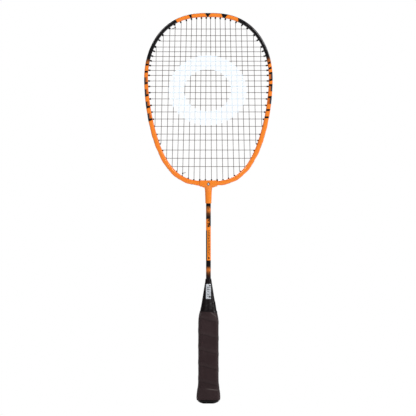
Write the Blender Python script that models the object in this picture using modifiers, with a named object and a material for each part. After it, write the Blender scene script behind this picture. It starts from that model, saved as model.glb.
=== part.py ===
"""Badminton racket with an external T-joint, standing on its butt.

Metres, +Z up along the shaft, the string bed facing -Y. The origin is the
centre of the butt cap's flat end. Run it with blender --background --python
part.py, or from Blender's text editor.
"""
from bisect import bisect_right
from math import cos, hypot, pi, sin

import bmesh
import bpy
from mathutils import Matrix, Vector

GAP = 0.0003                      # clearance kept between touching pieces
PAST = 0.0010                     # a cutter reaches this far past a face

# Head: the outer outline is half of one superellipse over half of another.
HEAD_TOP = 0.5800
HEAD_WIDEST = 0.4826
HEAD_BOTTOM = 0.3230
HEAD_HALF_WIDTH = 0.0954
UPPER_POWERS = (2.58, 2.00)       # powers of the width and of the height
LOWER_POWERS = (2.89, 1.86)
HOOP_SAMPLES = 720                # per half, for measuring along the hoop

# Hoop tube: a flattened tube with a groove round its outer side.
FRAME_WIDTH = 0.0074              # low on the head, in the plane of the strings
# The tube narrows further up: distance along either side from the hoop's
# bottom, and how far in from the middle line the inner side is there.
INNER_SIDE = (
    (0.120, 0.0037), (0.150, 0.0031), (0.190, 0.0021), (0.220, 0.0019),
    (0.255, 0.0019), (0.320, 0.0026),
)
FRAME_DEPTH = 0.0096
OUTER_FLAT = 0.66                 # share of the depth that is flat outside,
INNER_FLAT = 0.50                 # inside,
FACE_FLAT = 0.45                  # and share of the width on the two faces
WALL = 0.0007
GROOVE_DEPTH = 0.0022
GROOVE_HALF_WIDTH = 0.0019
GROOVE_FLARE = 0.0001
HOOP_END_GAP = 0.0010             # between the tube's two ends, in the T-joint

# Stringing: twenty mains and twenty-three crosses of one string.
MAINS_PER_SIDE = 10
CROSSES = 23
MAIN_TOP_STEP = 0.00692
MAIN_TOP_SPREAD = 0.0000175       # the outer mains stand further apart
MAIN_BOTTOM_STEP = 0.00861
FIRST_CROSS = 0.5592
CROSS_STEP = 0.0068               # the closest spacing, at the sixth cross
CLOSEST_CROSS = 6
CROSS_STEP_ABOVE = 0.000105
CROSS_STEP_BELOW = 0.000415
STRING_RADIUS = 0.00035
WEAVE = 0.0010                    # a cross passes this far from a main
SIDE_BY_SIDE = 0.0004             # two strings in one hole, off its middle
SPREAD_APART = 0.0005             # and along the hoop, where they come out
LANE = 0.0006                     # mains' loops run in front, crosses' behind
OUTER_LANE = 0.00135              # for a long run past other loops
HOLE_SPACING = 0.0056             # the least distance between two holes
# Mains whose hole also takes a cross, on each side: (end, main): cross.
SHARED_HOLES = {
    ("top", 8): 1, ("top", 9): 2, ("top", 10): 4,
    ("bottom", 7): 23, ("bottom", 8): 22, ("bottom", 10): 18,
}
TIE_OFF_TOP_MAIN = 7
TIE_OFF_BOTTOM_MAIN = 5
TURN = 0.0006                     # length of the bend at a hole's mouth
TAIL = 0.0045                     # loose end left at a knot
KNOT_TURNS = 2
KNOT_RADIUS = 0.0010
KNOT_PITCH = 0.0011
KNOT_START = 0.0018               # from the mouth of the tie-off hole
KNOT_SIDES = 6                    # straight steps in a turn

# Grommets: two barrels on one web that lies in the groove.
BARREL_SIDES = 6
BORE_RADIUS = 0.00075
SHARED_BORE_RADIUS = 0.00120
BARREL_WALL = 0.00035
BARREL_PROUD = 0.0014             # beyond the inner side of the hoop or sleeve
SHARED_BARREL_PROUD = 0.0004
WEB_THICKNESS = 0.0006
WEB_HALF_WIDTH = 0.0016
WEB_END = 0.0015                  # of web past each barrel's axis
LONGEST_STRAIGHT_WEB = 0.0120

# T-joint: a sleeve round the hoop's bottom and a socket for the shaft.
SLEEVE_HALF_LENGTH = 0.0128
SLEEVE_WALL = 0.0009
SOCKET_CORE_TOP = 0.3234          # the socket ends inside the sleeve
SOCKET_TOP = 0.3212
SOCKET_SHOULDER = 0.3138
SOCKET_END = 0.2972
SOCKET_TOP_RADIUS = 0.0056
SOCKET_SHOULDER_RADIUS = 0.0048
SOCKET_END_RADIUS = 0.0043
GUSSET_HALF_WIDTH = 0.0105
GUSSET_TOP = 0.3241
GUSSET_SIDE = 0.3221
GUSSET_TIP = (0.0070, 0.3203)     # its lowest corner: across and up
GUSSET_END = 0.3205
GUSSET_DEPTH = 0.0086
GUSSET_ROOT = 0.0004              # overlap with the socket's side

# Shaft: a plain steel tube from the T-joint down into the handle.
SHAFT_RADIUS = 0.00355
SHAFT_BORE_RADIUS = 0.00300
SHAFT_TOP = 0.3183
SHAFT_BOTTOM = 0.1000
ROUND_SIDES = 24
BORE_SIDES = 12

# Handle: an octagonal core, flatter from front to back.
CORE_HALF_WIDTH = 0.01315
CORE_HALF_DEPTH = 0.01140
FRONT_FACET = 0.0098              # half the width of the front and back facets
SIDE_FACET = 0.0062               # half the depth of the side facets
CORE_BOTTOM = 0.0052
CORE_TOP = 0.1180
SPIGOT_RADIUS = 0.0060            # round peg on the core, inside the cone
SPIGOT_TOP = 0.1500
GRIP_THICKNESS = 0.0022
GRIP_BOTTOM = 0.0048
GRIP_TOP = 0.1380
FINISH_BOTTOM = GRIP_TOP + GAP
FINISH_TOP = 0.1500
FINISH_THICKNESS = 0.0004
GRIP_TAPER = 0.0011               # thickness of the grip where it thins out,
FINISH_EDGE = 0.0007              # and at its upper end, under the tape's edge
CAP_SKIRT_TOP = 0.0240
GRIP_STEP = 0.0040                # from the skirt's top to the core's surface
LABEL_BOTTOM = 0.1551
LABEL_TOP = 0.1778
LABEL_HALF_WIDTH = 0.0042
LABEL_THICKNESS = 0.0002
LABEL_GAP = 0.00015

# The cone's outside: height, half-width and how round it is, from 0, the
# core's octagon, to 1, a circle.
CONE_PROFILE = (
    (CORE_TOP + GAP, 0.01315, 0.0),
    (0.1263, 0.01300, 0.35),
    (0.1352, 0.01225, 0.80),
    (GRIP_TOP, 0.01185, 1.0),
    (0.1441, 0.01095, 1.0),
    (0.1530, 0.00945, 1.0),
    (0.1619, 0.00795, 1.0),
    (0.1709, 0.00655, 1.0),
    (0.1798, 0.00505, 1.0),
    (0.1842, 0.00450, 1.0),
    (0.1856, 0.00420, 1.0),
)
# The outside of the butt, grip included: height and half-width.
BUTT_PROFILE = (
    (0.0048, 0.0171),
    (0.0070, 0.0178),
    (0.0105, 0.0179),
    (0.0194, 0.0170),
    (0.0283, 0.0157),
    (0.0370, 0.01535),
)

# The butt cap's rounded end, below the grip: height and half-width.
CAP_END_PROFILE = (
    (0.0000, 0.0070),
    (0.0006, 0.0096),
    (0.0015, 0.0124),
    (0.0028, 0.0147),
    (GRIP_BOTTOM - GAP, 0.0162),
)
CAP_SKIRT_LEVELS = (GRIP_BOTTOM - GAP, 0.0105, 0.0194, CAP_SKIRT_TOP)

# Distances from the hoop's middle line, outwards.
OUTER = FRAME_WIDTH / 2
GROOVE_FLOOR = OUTER - GROOVE_DEPTH
WEB_BOTTOM = GROOVE_FLOOR + GAP
WEB_TOP = WEB_BOTTOM + WEB_THICKNESS
STRING_IN_GROOVE = WEB_TOP + 0.0002 + STRING_RADIUS
MOUTH_BEND = 0.0005               # a string turns this far inside its barrel

PARTS = "badminton_racket"
CUTTERS = "cutters"

COLOURS = {
    "paint": ((0.90, 0.24, 0.03, 1), 0.22, 0.0),
    "joint": ((0.90, 0.22, 0.03, 1), 0.30, 0.0),
    "shaft": ((0.03, 0.03, 0.03, 1), 0.25, 0.0),
    "cone": ((0.012, 0.012, 0.013, 1), 0.18, 0.0),
    "core": ((0.62, 0.43, 0.25, 1), 0.60, 0.0),
    "cap": ((0.015, 0.015, 0.016, 1), 0.45, 0.0),
    "grip": ((0.035, 0.024, 0.022, 1), 0.70, 0.0),
    "tape": ((0.02, 0.02, 0.02, 1), 0.35, 0.0),
    "label": ((0.80, 0.80, 0.82, 1), 0.35, 0.0),
    "string": ((0.06, 0.05, 0.05, 1), 0.35, 0.0),
    "grommet": ((0.02, 0.02, 0.02, 1), 0.45, 0.0),
}


# ---------------------------------------------------------------- scene

def clear_scene():
    for obj in list(bpy.data.objects):
        bpy.data.objects.remove(obj)


def collection(name):
    found = bpy.data.collections.get(name)
    if found is None:
        found = bpy.data.collections.new(name)
        bpy.context.scene.collection.children.link(found)
    return found


def material(slot):
    found = bpy.data.materials.get(slot)
    if found is None:
        colour, roughness, metallic = COLOURS[slot]
        found = bpy.data.materials.new(slot)
        found.use_nodes = True
        shader = found.node_tree.nodes["Principled BSDF"]
        shader.inputs["Base Color"].default_value = colour
        shader.inputs["Roughness"].default_value = roughness
        shader.inputs["Metallic"].default_value = metallic
    return found


def add_object(name, data):
    """A finished part of the racket."""
    obj = bpy.data.objects.new(name, data)
    collection(PARTS).objects.link(obj)
    return obj


def add_cutter(name, data):
    """A shape that only cuts or joins another."""
    obj = bpy.data.objects.new(name, data)
    collection(CUTTERS).objects.link(obj)
    obj.hide_render = True
    obj.display_type = "WIRE"
    return obj


def finish(obj, slot, smooth_angle=None):
    obj.data.materials.clear()
    obj.data.materials.append(material(slot))
    if smooth_angle is not None:
        obj.data.shade_smooth()
        obj.data.set_sharp_from_angle(angle=smooth_angle)
    return obj


def evaluated_mesh(obj):
    depsgraph = bpy.context.evaluated_depsgraph_get()
    return bpy.data.meshes.new_from_object(obj.evaluated_get(depsgraph))


def boolean(obj, other, operation):
    """Joins, cuts or intersects obj with other, and removes other."""
    modifier = obj.modifiers.new(operation.lower(), "BOOLEAN")
    modifier.operation = operation
    modifier.object = other
    modifier.solver = "EXACT"
    mesh = evaluated_mesh(obj)
    obj.modifiers.remove(modifier)
    obj.data = mesh
    bpy.data.objects.remove(other)
    return obj


def joined_cutter(name, meshes):
    """One cutter made of several closed meshes that don't touch."""
    whole = bmesh.new()
    for mesh in meshes:
        whole.from_mesh(mesh)
    data = bpy.data.meshes.new(name)
    whole.to_mesh(data)
    whole.free()
    return add_cutter(name, data)


# ---------------------------------------------------------------- shapes

def poly_curve(name, points, cyclic=False, dimensions="3D"):
    curve = bpy.data.curves.new(name, "CURVE")
    curve.dimensions = dimensions
    spline = curve.splines.new("POLY")
    spline.points.add(len(points) - 1)
    for place, point in zip(spline.points, points):
        place.co = (point[0], point[1], point[2], 1)
    spline.use_cyclic_u = cyclic
    return curve


def curve_mesh(curve):
    """The closed mesh of a curve, its caps welded on."""
    guide = add_cutter(curve.name, curve)
    bpy.context.view_layer.update()
    mesh = evaluated_mesh(guide)
    bpy.data.objects.remove(guide)
    work = bmesh.new()
    work.from_mesh(mesh)
    bmesh.ops.remove_doubles(work, verts=work.verts, dist=1e-6)
    bmesh.ops.recalc_face_normals(work, faces=work.faces)
    work.to_mesh(mesh)
    work.free()
    return mesh


def swept_mesh(name, path, section):
    """A solid with a flat outline carried along a path.

    The outline's points are (depth along Y, distance out from the hoop)."""
    outline = poly_curve(name + "_outline", [(y, -out, 0) for y, out in section],
                         cyclic=True, dimensions="2D")
    guide = add_cutter(name + "_outline", outline)
    curve = poly_curve(name, path)
    curve.bevel_mode = "OBJECT"
    curve.bevel_object = guide
    curve.use_fill_caps = True
    mesh = curve_mesh(curve)
    bpy.data.objects.remove(guide)
    return mesh


def rod_mesh(name, start, end, radius, sides):
    """A closed cylinder from one point to another."""
    axis = end - start
    work = bmesh.new()
    turn = axis.to_track_quat("Z", "Y").to_matrix().to_4x4()
    place = Matrix.Translation((start + end) / 2) @ turn
    bmesh.ops.create_cone(work, cap_ends=True, segments=sides, radius1=radius,
                          radius2=radius, depth=axis.length, matrix=place)
    mesh = bpy.data.meshes.new(name)
    work.to_mesh(mesh)
    work.free()
    return mesh


def turned_mesh(name, profile, sides=ROUND_SIDES):
    """A closed profile of (radius, height) turned about the shaft's axis."""
    outline = bpy.data.meshes.new(name)
    last = len(profile) - 1
    loop = [] if profile[0][0] == 0 and profile[last][0] == 0 else [(last, 0)]
    edges = [(i, i + 1) for i in range(last)] + loop
    outline.from_pydata([(radius, 0, height) for radius, height in profile], edges, [])
    guide = add_cutter(name, outline)
    screw = guide.modifiers.new("turn", "SCREW")
    screw.steps = sides
    screw.render_steps = sides
    screw.use_merge_vertices = True
    screw.merge_threshold = 0.00001
    mesh = evaluated_mesh(guide)
    bpy.data.objects.remove(guide)
    return mesh


def loft_mesh(name, rings, closed=False):
    """Skins a stack of rings, each a list of points in the same order.

    Closed joins the last ring to the first, which makes a tube. Its quads
    are always split the same way, so that nested skins keep their gap."""
    work = bmesh.new()
    verts = [[work.verts.new(point) for point in ring] for ring in rings]
    count = len(rings[0])
    pairs = list(zip(verts, verts[1:]))
    if closed:
        pairs.append((verts[-1], verts[0]))
    else:
        work.faces.new(list(reversed(verts[0])))
        work.faces.new(verts[-1])
    for first, second in pairs:
        rises = first[0].co.z <= second[0].co.z
        low, high = (first, second) if rises else (second, first)
        for i in range(count):
            j = (i + 1) % count
            work.faces.new((low[i], low[j], high[j]))
            work.faces.new((low[i], high[j], high[i]))
    bmesh.ops.recalc_face_normals(work, faces=work.faces)
    mesh = bpy.data.meshes.new(name)
    work.to_mesh(mesh)
    work.free()
    return mesh


# ---------------------------------------------------------------- hoop line

def superellipse(angle, height, powers):
    """A point of the hoop's middle line, from its widest level."""
    half_width = HEAD_HALF_WIDTH - FRAME_WIDTH / 2
    across = half_width * abs(cos(angle)) ** (2 / powers[0])
    up = (height - FRAME_WIDTH / 2) * abs(sin(angle)) ** (2 / powers[1])
    return across, up


def hoop_samples():
    """Closely spaced points of the middle line, from its bottom up the left
    side, over the top and down the right side."""
    lower = HEAD_WIDEST - HEAD_BOTTOM
    upper = HEAD_TOP - HEAD_WIDEST
    left = []
    for i in range(HOOP_SAMPLES + 1):
        angle = pi * i / HOOP_SAMPLES - pi / 2
        if angle < 0:
            across, up = superellipse(angle, lower, LOWER_POWERS)
            up = -up
        else:
            across, up = superellipse(angle, upper, UPPER_POWERS)
        left.append(Vector((-across, 0, HEAD_WIDEST + up)))
    left[0].x = left[-1].x = 0
    right = [Vector((-p.x, 0, p.z)) for p in reversed(left[:-1])]
    return left + right


LINE = hoop_samples()
ARC = [0.0]
for before, after in zip(LINE, LINE[1:]):
    ARC.append(ARC[-1] + (after - before).length)
HOOP_LENGTH = ARC[-1]


def on_hoop(distance, out=0.0, y=0.0):
    """The point at a distance along the hoop, moved outwards and along Y."""
    distance = distance % HOOP_LENGTH
    i = min(bisect_right(ARC, distance), len(ARC) - 1)
    share = (distance - ARC[i - 1]) / (ARC[i] - ARC[i - 1])
    place = LINE[i - 1].lerp(LINE[i], share)
    return place + outward(distance) * out + Vector((0, y, 0))


def outward(distance):
    """The hoop's outward normal, taken over a millimetre each way."""
    def near(offset):
        i = min(max(bisect_right(ARC, (distance + offset) % HOOP_LENGTH), 1), len(ARC) - 1)
        share = ((distance + offset) % HOOP_LENGTH - ARC[i - 1]) / (ARC[i] - ARC[i - 1])
        return LINE[i - 1].lerp(LINE[i], share)
    along = near(0.001) - near(-0.001)
    return Vector((-along.z, 0, along.x)).normalized()


# ---------------------------------------------------------------- stringing plan

def nearest_distance(measure, indices):
    """The distance along the hoop, among samples, where a measure is least."""
    return ARC[min(indices, key=measure)]


def distance_where(level, upper):
    """Where the hoop's inner side meets a string's line, on the left."""
    half = HOOP_SAMPLES // 2
    indices = range(half, HOOP_SAMPLES + 1) if upper else range(half + 1)
    return nearest_distance(lambda i: abs(level(on_hoop(ARC[i], -OUTER))), indices)


def distance_nearest(place):
    """Where the left side comes nearest to a point."""
    return nearest_distance(lambda i: (LINE[i] - place).length, range(HOOP_SAMPLES + 1))


def main_offsets(number):
    """Distance of a main from the axis at the top and at the bottom."""
    place = number - 0.5
    return (MAIN_TOP_STEP * place + MAIN_TOP_SPREAD * place ** 3,
            MAIN_BOTTOM_STEP * place)


def cross_heights():
    heights = [FIRST_CROSS]
    for i in range(CROSSES - 1):
        if i < CLOSEST_CROSS:
            step = CROSS_STEP + CROSS_STEP_ABOVE * (CLOSEST_CROSS - i) ** 2
        else:
            step = CROSS_STEP + CROSS_STEP_BELOW * (i - CLOSEST_CROSS)
        heights.append(heights[-1] - step)
    return heights


def spread(holes):
    """Moves holes that are too close apart, by equal amounts."""
    distances = [distance for distance, uses in holes]
    for i in range(len(distances) - 1):
        lack = HOLE_SPACING - (distances[i + 1] - distances[i])
        if lack > 0:
            distances[i] -= lack / 2
            distances[i + 1] += lack / 2
    return [(distance, uses) for distance, (old, uses) in zip(distances, holes)]


def left_holes():
    """The left side's holes from the bottom up: distance and what they hold."""
    heights = cross_heights()
    holes = []
    for number in range(1, MAINS_PER_SIDE + 1):
        for end, x in zip(("top", "bottom"), main_offsets(number)):
            uses = [(end, number)]
            cross = SHARED_HOLES.get((end, number))
            if cross:
                uses.append(("cross", cross))
                distance = distance_nearest(Vector((-x, 0, heights[cross - 1])))
            else:
                distance = distance_where(lambda p: p.x + x, end == "top")
            holes.append((distance, uses))
    for number, z in enumerate(heights, 1):
        if number not in SHARED_HOLES.values():
            distance = distance_where(lambda p: p.z - z, z > HEAD_WIDEST)
            holes.append((distance, [("cross", number)]))
    return spread(sorted(holes))


def all_holes():
    """Every hole in order along the hoop. A key is (side, kind, number)."""
    left = left_holes()
    holes = [(distance, [("left",) + use for use in uses]) for distance, uses in left]
    for distance, uses in reversed(left):
        holes.append((HOOP_LENGTH - distance, [("right",) + use for use in uses]))
    return holes


HOLES = all_holes()
HOLE_OF = {key: i for i, (distance, keys) in enumerate(HOLES) for key in keys}
TIE_OFFS = {HOLE_OF["left", "top", TIE_OFF_TOP_MAIN],
            HOLE_OF["left", "bottom", TIE_OFF_BOTTOM_MAIN]}


def is_shared(index):
    return len(HOLES[index][1]) > 1 or index in TIE_OFFS


def bore_radius(index):
    return SHARED_BORE_RADIUS if is_shared(index) else BORE_RADIUS


def in_joint(index):
    """Whether a barrel goes through the T-joint's sleeve."""
    distance = HOLES[index][0]
    return min(distance, HOOP_LENGTH - distance) < SLEEVE_HALF_LENGTH + BORE_RADIUS


def barrel_end(index):
    """Distance out from the hoop's middle line to a barrel's inner end."""
    proud = SHARED_BARREL_PROUD if is_shared(index) else BARREL_PROUD
    return -OUTER - proud - (GAP + SLEEVE_WALL if in_joint(index) else 0.0)


def mirrored(half):
    return half + [(-y, out) for y, out in reversed(half)]


def inner_side(distance):
    """How far in from the middle line the tube's inner side is."""
    along = min(distance, HOOP_LENGTH - distance)
    for (start, low), (end, high) in zip(INNER_SIDE, INNER_SIDE[1:]):
        if along < end:
            return low + (high - low) * max(0, (along - start) / (end - start))
    return INNER_SIDE[-1][1]


def half_outline(more, outermost, inner=OUTER):
    """The tube's side at +Y without its groove, grown by a distance."""
    depth = FRAME_DEPTH / 2 + more
    return [(OUTER_FLAT * depth, outermost), (depth, FACE_FLAT * (OUTER + more)),
            (depth, -FACE_FLAT * (inner + more)), (INNER_FLAT * depth, -inner - more)]


def tube_section(distance):
    """Outline of the hoop tube: grooved outside, softly rounded inside."""
    groove = [(GROOVE_HALF_WIDTH, GROOVE_FLOOR),
              (GROOVE_HALF_WIDTH + GROOVE_FLARE, OUTER - GROOVE_FLARE)]
    return mirrored(groove + half_outline(0, OUTER, inner_side(distance)))


def hollow_section(distance):
    """Outline of the hollow inside the hoop tube, a wall in from the outside."""
    return mirrored(half_outline(-WALL, GROOVE_FLOOR - WALL, inner_side(distance)))


def envelope_section(more):
    """The low tube's outline without its groove, enlarged all round."""
    return mirrored(half_outline(more, OUTER + more))


def hoop_stations():
    """Distances of the tube's rings: its ends and midway between holes."""
    distances = [distance for distance, keys in HOLES]
    middles = [(a + b) / 2 for a, b in zip(distances, distances[1:])]
    ends = [HOOP_END_GAP / 2, HOOP_LENGTH - HOOP_END_GAP / 2]
    return [ends[0]] + middles + [ends[1]]


def hoop_rings(distances, section):
    """A ring at each distance along the hoop, of the outline there."""
    return [[on_hoop(distance, out, y) for y, out in section(distance)]
            for distance in distances]


# ---------------------------------------------------------------- head

def make_head_frame():
    stations = hoop_stations()
    frame = add_object("head_frame", loft_mesh("tube", hoop_rings(stations, tube_section)))
    past_end = 0.4 * HOOP_END_GAP        # less than half, or the hollow's ends meet
    beyond = [stations[0] - past_end] + stations[1:-1] + [stations[-1] + past_end]
    hollow = add_cutter("hollow", loft_mesh("hollow", hoop_rings(beyond, hollow_section)))
    boolean(frame, hollow, "DIFFERENCE")
    drills = []
    for index, (distance, keys) in enumerate(HOLES):
        radius = bore_radius(index) + BARREL_WALL + GAP
        drills.append(rod_mesh("drill", on_hoop(distance, OUTER + PAST),
                               on_hoop(distance, -OUTER - PAST), radius, BARREL_SIDES))
    boolean(frame, joined_cutter("drills", drills), "DIFFERENCE")
    return finish(frame, "paint", pi / 5)


def barrel_rod(index, radius, start, end):
    distance = HOLES[index][0]
    return rod_mesh("barrel", on_hoop(distance, start), on_hoop(distance, end),
                    radius, BARREL_SIDES)


def web_mesh(start, end):
    """A strip along the groove's floor, bent in the middle if it is long."""
    bends = 1 if end - start > LONGEST_STRAIGHT_WEB else 0
    rings = []
    for i in range(bends + 2):
        distance = start + (end - start) * i / (bends + 1)
        rings.append([on_hoop(distance, out, y)
                      for y, out in ((-WEB_HALF_WIDTH, WEB_BOTTOM), (WEB_HALF_WIDTH, WEB_BOTTOM),
                                     (WEB_HALF_WIDTH, WEB_TOP), (-WEB_HALF_WIDTH, WEB_TOP))])
    return loft_mesh("web", rings)


def make_grommet(name, first, second):
    """Two barrels on one web, with a bore through each."""
    grommet = add_object(name, web_mesh(HOLES[first][0] - WEB_END, HOLES[second][0] + WEB_END))
    for index in (first, second):
        radius = bore_radius(index) + BARREL_WALL
        top = WEB_BOTTOM + WEB_THICKNESS / 2
        barrel = add_cutter("barrel", barrel_rod(index, radius, top, barrel_end(index)))
        boolean(grommet, barrel, "UNION")
    bores = [barrel_rod(index, bore_radius(index), OUTER, barrel_end(index) - PAST)
             for index in (first, second)]
    boolean(grommet, joined_cutter("bores", bores), "DIFFERENCE")
    return finish(grommet, "grommet", pi / 5)


def make_grommets():
    """The pair over the top's middle, then pairs down each side."""
    per_side = len(HOLES) // 2
    for pair in range(per_side // 2):
        low = 2 * pair
        number = per_side // 2 - pair
        make_grommet(f"grommet_left_{number:02d}", low, low + 1)
        mirror = len(HOLES) - 2 - low
        make_grommet(f"grommet_right_{number:02d}", mirror, mirror + 1)
    make_grommet("grommet_top", per_side - 1, per_side)


# ---------------------------------------------------------------- string

def string_y(index, kind):
    """Where a string stands in a hole: in the middle, or beside another."""
    if not is_shared(index):
        return 0.0
    return SIDE_BY_SIDE if kind == "cross" else -SIDE_BY_SIDE


def mouth(index, kind):
    """Where a string leaves a barrel, at the side of a shared one that it
    comes from: mains towards the far end of the head, crosses towards its side."""
    distance = HOLES[index][0]
    out = barrel_end(index) - MOUTH_BEND
    place = on_hoop(distance, out, string_y(index, kind))
    if len(HOLES[index][1]) > 1:
        along = (on_hoop(distance + TURN) - on_hoop(distance - TURN)).normalized()
        pull = Vector((0, 0, HEAD_WIDEST - place.z)) if kind == "main" else Vector((-place.x, 0, 0))
        place += along * (SPREAD_APART if pull.dot(along) > 0 else -SPREAD_APART)
    return place


def outside_run(start, end, start_kind, end_kind, lane=None):
    """Out through one hole, along the groove and in through another.

    The ends keep to their own kind's lane, and the way between them too
    unless it is given another."""
    a, b = HOLES[start][0], HOLES[end][0]
    way = 1 if b > a else -1
    lanes = {"cross": LANE, "main": -LANE}
    points = [mouth(start, start_kind), on_hoop(a, WEB_TOP, string_y(start, start_kind)),
              on_hoop(a + way * TURN, STRING_IN_GROOVE, lanes[start_kind])]
    between = [(HOLES[i][0] + HOLES[i + way][0]) / 2 for i in range(start, end, way)]
    passed = [HOLES[i][0] for i in range(start + way, end, way)]
    for distance in sorted(between + passed, reverse=way < 0):
        points.append(on_hoop(distance, STRING_IN_GROOVE, lane or lanes[start_kind]))
    points += [on_hoop(b - way * TURN, STRING_IN_GROOVE, lanes[end_kind]),
               on_hoop(b, WEB_TOP, string_y(end, end_kind)), mouth(end, end_kind)]
    return points


def main_line(side, number):
    """A main's two ends inside the head, top first."""
    top = mouth(HOLE_OF[side, "top", number], "main")
    bottom = mouth(HOLE_OF[side, "bottom", number], "main")
    return top, bottom


def mains_in_order():
    sides = [("left", n) for n in range(MAINS_PER_SIDE, 0, -1)]
    return sides + [("right", n) for n in range(1, MAINS_PER_SIDE + 1)]


def mains_route():
    """Up and down through all mains, from the upper left to the upper right."""
    first = HOLE_OF["left", "top", MAINS_PER_SIDE]
    tie = HOLE_OF["left", "top", TIE_OFF_TOP_MAIN]
    route = outside_run(tie, first, "cross", "main", lane=-OUTER_LANE)
    order = mains_in_order()
    for place, (side, number) in enumerate(order[:-1]):
        end = "bottom" if place % 2 == 0 else "top"
        next_side, next_number = order[place + 1]
        route += outside_run(HOLE_OF[side, end, number],
                             HOLE_OF[next_side, end, next_number], "main", "main")
    return route


def woven(number, z_left, z_right):
    """A cross's points over and under the mains, from left to right."""
    points = []
    for place, (side, main) in enumerate(mains_in_order()):
        top, bottom = main_line(side, main)
        z = (z_left + z_right) / 2
        if not bottom.z < z < top.z:
            continue
        crossing = bottom.lerp(top, (z - bottom.z) / (top.z - bottom.z))
        points.append(crossing + Vector((0, WEAVE * (-1) ** (place + number), 0)))
    return points


def crosses_route():
    """From the upper right down to the lower left, to and fro."""
    corner = HOLE_OF["right", "top", MAINS_PER_SIDE]
    route = outside_run(corner, HOLE_OF["right", "cross", 1], "main", "cross",
                        lane=OUTER_LANE)
    for number in range(1, CROSSES + 1):
        left = HOLE_OF["left", "cross", number]
        right = HOLE_OF["right", "cross", number]
        line = woven(number, mouth(left, "cross").z, mouth(right, "cross").z)
        route += line[::-1] if number % 2 else line
        side = "left" if number % 2 else "right"
        if number < CROSSES:
            route += outside_run(HOLE_OF[side, "cross", number],
                                 HOLE_OF[side, "cross", number + 1], "cross", "cross")
    last = HOLE_OF["left", "cross", CROSSES]
    tie = HOLE_OF["left", "bottom", TIE_OFF_BOTTOM_MAIN]
    return route + outside_run(last, tie, "cross", "cross", lane=OUTER_LANE)


def knot(index, main, way):
    """A string's end wound round a main beside its hole, with a short tail."""
    top, bottom = main_line("left", main)
    start, end = (top, bottom) if way == "top" else (bottom, top)
    along = (end - start).normalized()
    across = along.cross(Vector((0, 1, 0))).normalized()
    points = []
    for i in range(KNOT_SIDES * KNOT_TURNS + 1):
        turn = pi / 2 + 2 * pi * i / KNOT_SIDES
        side = across * cos(turn) + Vector((0, 1, 0)) * sin(turn)
        height = KNOT_START + KNOT_PITCH * i / KNOT_SIDES
        points.append(start + along * height + side * KNOT_RADIUS)
    points.append(points[-1] - across * TAIL + along * KNOT_PITCH)
    return points


def make_string():
    upper = knot(HOLE_OF["left", "top", TIE_OFF_TOP_MAIN], TIE_OFF_TOP_MAIN, "top")
    lower = knot(HOLE_OF["left", "bottom", TIE_OFF_BOTTOM_MAIN], TIE_OFF_BOTTOM_MAIN, "bottom")
    route = upper[::-1] + mains_route() + crosses_route() + lower
    curve = poly_curve("string", route)
    curve.bevel_depth = STRING_RADIUS
    curve.bevel_resolution = 0
    curve.use_fill_caps = True
    return finish(add_object("string", curve_mesh(curve)), "string")


# ---------------------------------------------------------------- joint and shaft

def make_throat_joint():
    sleeve = [on_hoop(SLEEVE_HALF_LENGTH * i / 4) for i in range(-4, 5)]
    around = swept_mesh("sleeve", sleeve, envelope_section(GAP + SLEEVE_WALL))
    joint = add_object("throat_joint", around)
    socket = turned_mesh("socket", [(0, SOCKET_CORE_TOP), (SOCKET_TOP_RADIUS, SOCKET_CORE_TOP),
                                    (SOCKET_TOP_RADIUS, SOCKET_TOP),
                                    (SOCKET_SHOULDER_RADIUS, SOCKET_SHOULDER),
                                    (SOCKET_END_RADIUS, SOCKET_END), (0, SOCKET_END)])
    boolean(joint, add_cutter("socket", socket), "UNION")
    boolean(joint, gusset(), "UNION")
    channel = [on_hoop(SLEEVE_HALF_LENGTH * i / 4) for i in range(-6, 7)]
    boolean(joint, add_cutter("channel", swept_mesh("channel", channel, envelope_section(GAP))),
            "DIFFERENCE")
    bore = rod_mesh("bore", Vector((0, 0, SOCKET_END - PAST)), Vector((0, 0, SHAFT_TOP + GAP)),
                    SHAFT_RADIUS + GAP, ROUND_SIDES)
    boolean(joint, add_cutter("bore", bore), "DIFFERENCE")
    drills = []
    for side in ("left", "right"):
        for number in (1, 2):
            distance = HOLES[HOLE_OF[side, "bottom", number]][0]
            inside = on_hoop(distance, -OUTER - SLEEVE_WALL - 2 * PAST)
            drills.append(rod_mesh("drill", on_hoop(distance), inside,
                                   BORE_RADIUS + BARREL_WALL + GAP, BARREL_SIDES))
    boolean(joint, joined_cutter("drills", drills), "DIFFERENCE")
    return finish(joint, "joint", pi / 5)


def gusset():
    """The flat web under the sleeve, either side of the socket."""
    half = [(GUSSET_HALF_WIDTH, GUSSET_TOP), (GUSSET_HALF_WIDTH, GUSSET_SIDE), GUSSET_TIP,
            (SOCKET_TOP_RADIUS - GUSSET_ROOT, GUSSET_END)]
    outline = half + [(-x, z) for x, z in reversed(half)]
    curve = poly_curve("gusset", [(x, z, 0) for x, z in outline], cyclic=True, dimensions="2D")
    curve.fill_mode = "BOTH"
    curve.extrude = GUSSET_DEPTH / 2
    mesh = curve_mesh(curve)
    mesh.transform(Matrix.Rotation(pi / 2, 4, "X"))
    return add_cutter("gusset", mesh)


def make_shaft():
    shaft = add_object("shaft", rod_mesh("shaft", Vector((0, 0, SHAFT_BOTTOM)),
                                         Vector((0, 0, SHAFT_TOP)), SHAFT_RADIUS, ROUND_SIDES))
    hollow = rod_mesh("hollow", Vector((0, 0, SHAFT_BOTTOM - PAST)),
                      Vector((0, 0, SHAFT_TOP + PAST)), SHAFT_BORE_RADIUS, BORE_SIDES)
    boolean(shaft, add_cutter("hollow", hollow), "DIFFERENCE")
    return finish(shaft, "shaft", pi / 5)


# ---------------------------------------------------------------- handle

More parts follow.
